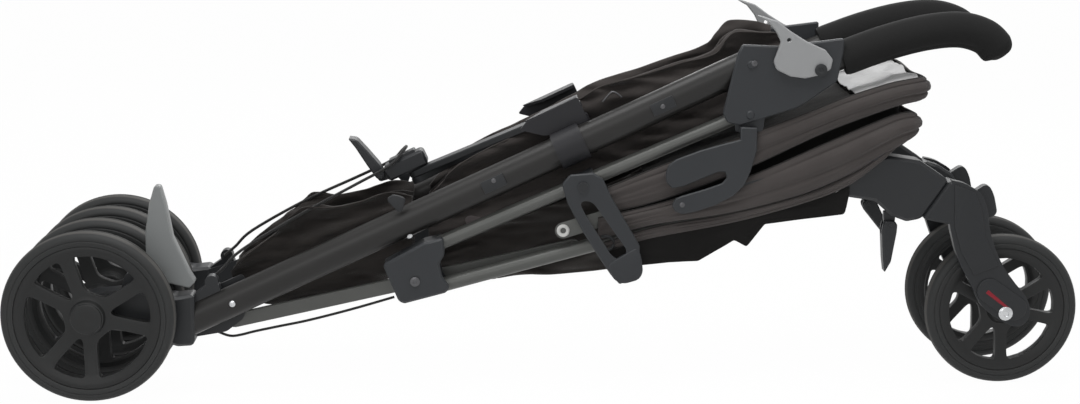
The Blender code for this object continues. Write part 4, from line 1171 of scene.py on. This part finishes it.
def makePods():
    # the raised oval round the end of each front axle and the raised panel above it
    start, end = Vector(podValues["from"]), Vector(podValues["to"])
    slope = math.atan2(end.y - start.y, end.x - start.x)
    radius, hole = podValues["radius"], podValues["hole"]
    outline = []
    for middle, first in ((end, slope - math.pi / 2), (start, slope + math.pi / 2)):
        turns = [first + math.pi * k / 14 for k in range(15)]
        outline += [(middle.x + radius * math.cos(a), middle.y + radius * math.sin(a)) for a in turns]
    x, z = fastenerValues["axleScrew"][2:4]
    turns = [math.tau * k / 24 for k in range(24)]
    opening = [(x + hole * math.cos(a), z + hole * math.sin(a)) for a in turns]
    for side, s in bothSides:
        pod = plateFrom(side + "ForkPod", outline, s, podValues)
        takeAway(pod, plateOf("hole", opening, s * podValues["inner"] * 0.9, s * podValues["outer"] * 1.1))
        panel = plateFrom(side + "ForkPanel", panelValues["outline"], s, panelValues)
        for piece, values in ((pod, podValues), (panel, panelValues)):
            softBevel(piece, values["edge"], 3)
            smoothOver(piece, 40)
            finishPiece(piece, finishes["blackPlastic"], side + "_caster")


latchFootValues = {
    "outline": [(0.0602, 0.1367), (0.0660, 0.1415), (0.0897, 0.1556), (0.0938, 0.1520), (0.0962, 0.1443),
                (0.0978, 0.1299), (0.0935, 0.1222), (0.0784, 0.1178), (0.0702, 0.1205), (0.0655, 0.1259)],
    "inner": 0.0857, "outer": 0.0915,
}
hookValues = {
    "outline": [(-0.1658, 0.2053), (-0.1590, 0.2112), (-0.1504, 0.2088), (-0.1452, 0.2058), (-0.1497, 0.1925),
                (-0.1535, 0.1922)],
    "inner": 0.0768, "outer": 0.0798,
}
tabValues = {
    "outline": [(-0.0861, 0.1786), (-0.0799, 0.1819), (-0.0710, 0.1795), (-0.0637, 0.1776), (-0.0649, 0.1713),
                (-0.0755, 0.1695), (-0.0832, 0.1699)],
    "inner": 0.0446, "outer": 0.0458,
}
trimValues = {"corner": 0.004, "edge": 0.0012}


def makeTrims():
    # the thick foot of the storage latch, the small hook on each main tube and the tab on the seat
    for name, values, body, finish, s in (
        ("latchFoot", latchFootValues, bodyOf["storage_latch"], "platePlastic", -1),
        ("rightTubeHook", hookValues, "right_main", "blackPlastic", -1),
        ("leftTubeHook", hookValues, "left_main", "blackPlastic", 1),
        ("seatTab", tabValues, "right_main", "tabCloth", -1),
    ):
        piece = plateFrom(name, values["outline"], s, values)
        roundCorners(piece, trimValues["corner"])
        softBevel(piece, trimValues["edge"], 3)
        smoothOver(piece, 40)
        finishPiece(piece, finishes[finish], body)


loopValues = {
    "points": [(0.0574, 0.3006), (0.0621, 0.3064), (0.0673, 0.3111), (0.0726, 0.3093), (0.0773, 0.3052)],
    "out": 0.0470, "wire": 0.0009,
}
catchValues = {"centre": (0.061, 0.158), "out": 0.0770, "radius": 0.0072, "stem": 0.006, "wire": 0.0016}


def makeWires():
    # the D-shaped catch that the storage latch hooks over, and the small loop on the backrest's edge
    (x, z), radius, stem = catchValues["centre"], catchValues["radius"], catchValues["stem"]
    turns = [math.pi * k / 12 for k in range(13)]
    bent = [(x + radius * math.sin(a), z - radius * math.cos(a)) for a in turns]
    bent = [(x - stem, z - radius), *bent, (x - stem, z + radius)]
    for name, values, points, steps, around, finish, body, slot in (
        ("latchCatch", catchValues, bent, 1, 10, "blackPlastic", "right_lower", "black_plastic"),
        ("backLoop", loopValues, loopValues["points"], 6, 8, "darkSteel", "right_main", "steel"),
    ):
        route = smoothRoute([Vector((px, -values["out"], pz)) for px, pz in points], steps)
        wire = layTube(name, route, values["wire"], finish, around)[0]
        finishPiece(wire, finishes[finish], body)


bushValues = {"centre": (0.016, 0.171), "out": 0.0746, "ring": 0.0048, "wire": 0.0019}
lugValues = {
    "radius": 0.0085, "from": 107, "end": [(0.052, 0.0075), (0.056, 0.0255)],
    "inner": 0.0733, "outer": 0.0748, "edge": 0.0005,
}


def makeBush():
    # the white bush and the lug under it on each lower leg
    x, z = bushValues["centre"]
    turns = [math.radians(lugValues["from"] + 15 * k) for k in range(13)]
    outline = [(x + lugValues["radius"] * math.cos(a), z + lugValues["radius"] * math.sin(a)) for a in turns]
    outline += [(x + ahead, z + up) for ahead, up in lugValues["end"]]
    for side, s in bothSides:
        deselectAll()
        bpy.ops.mesh.primitive_torus_add(
            location=(x, s * bushValues["out"], z), rotation=(math.pi / 2, 0.0, 0.0), major_segments=32,
            minor_segments=12, major_radius=bushValues["ring"], minor_radius=bushValues["wire"],
        )
        ring = bpy.context.object
        ring.name = side + "WhiteBush"
        settle(ring)
        smoothOver(ring, 80)
        finishPiece(ring, finishes["whitePlastic"], side + "_lower")
        lug = plateFrom(side + "LegLug", outline, s, lugValues)
        softBevel(lug, lugValues["edge"])
        smoothOver(lug)
        finishPiece(lug, finishes["legPaint"], side + "_lower")


makeFasteners()
makePods()
makeStripe()
makeTrims()
makeWires()
makeBush()
print("rivets, clips, stripes and bushes are on")
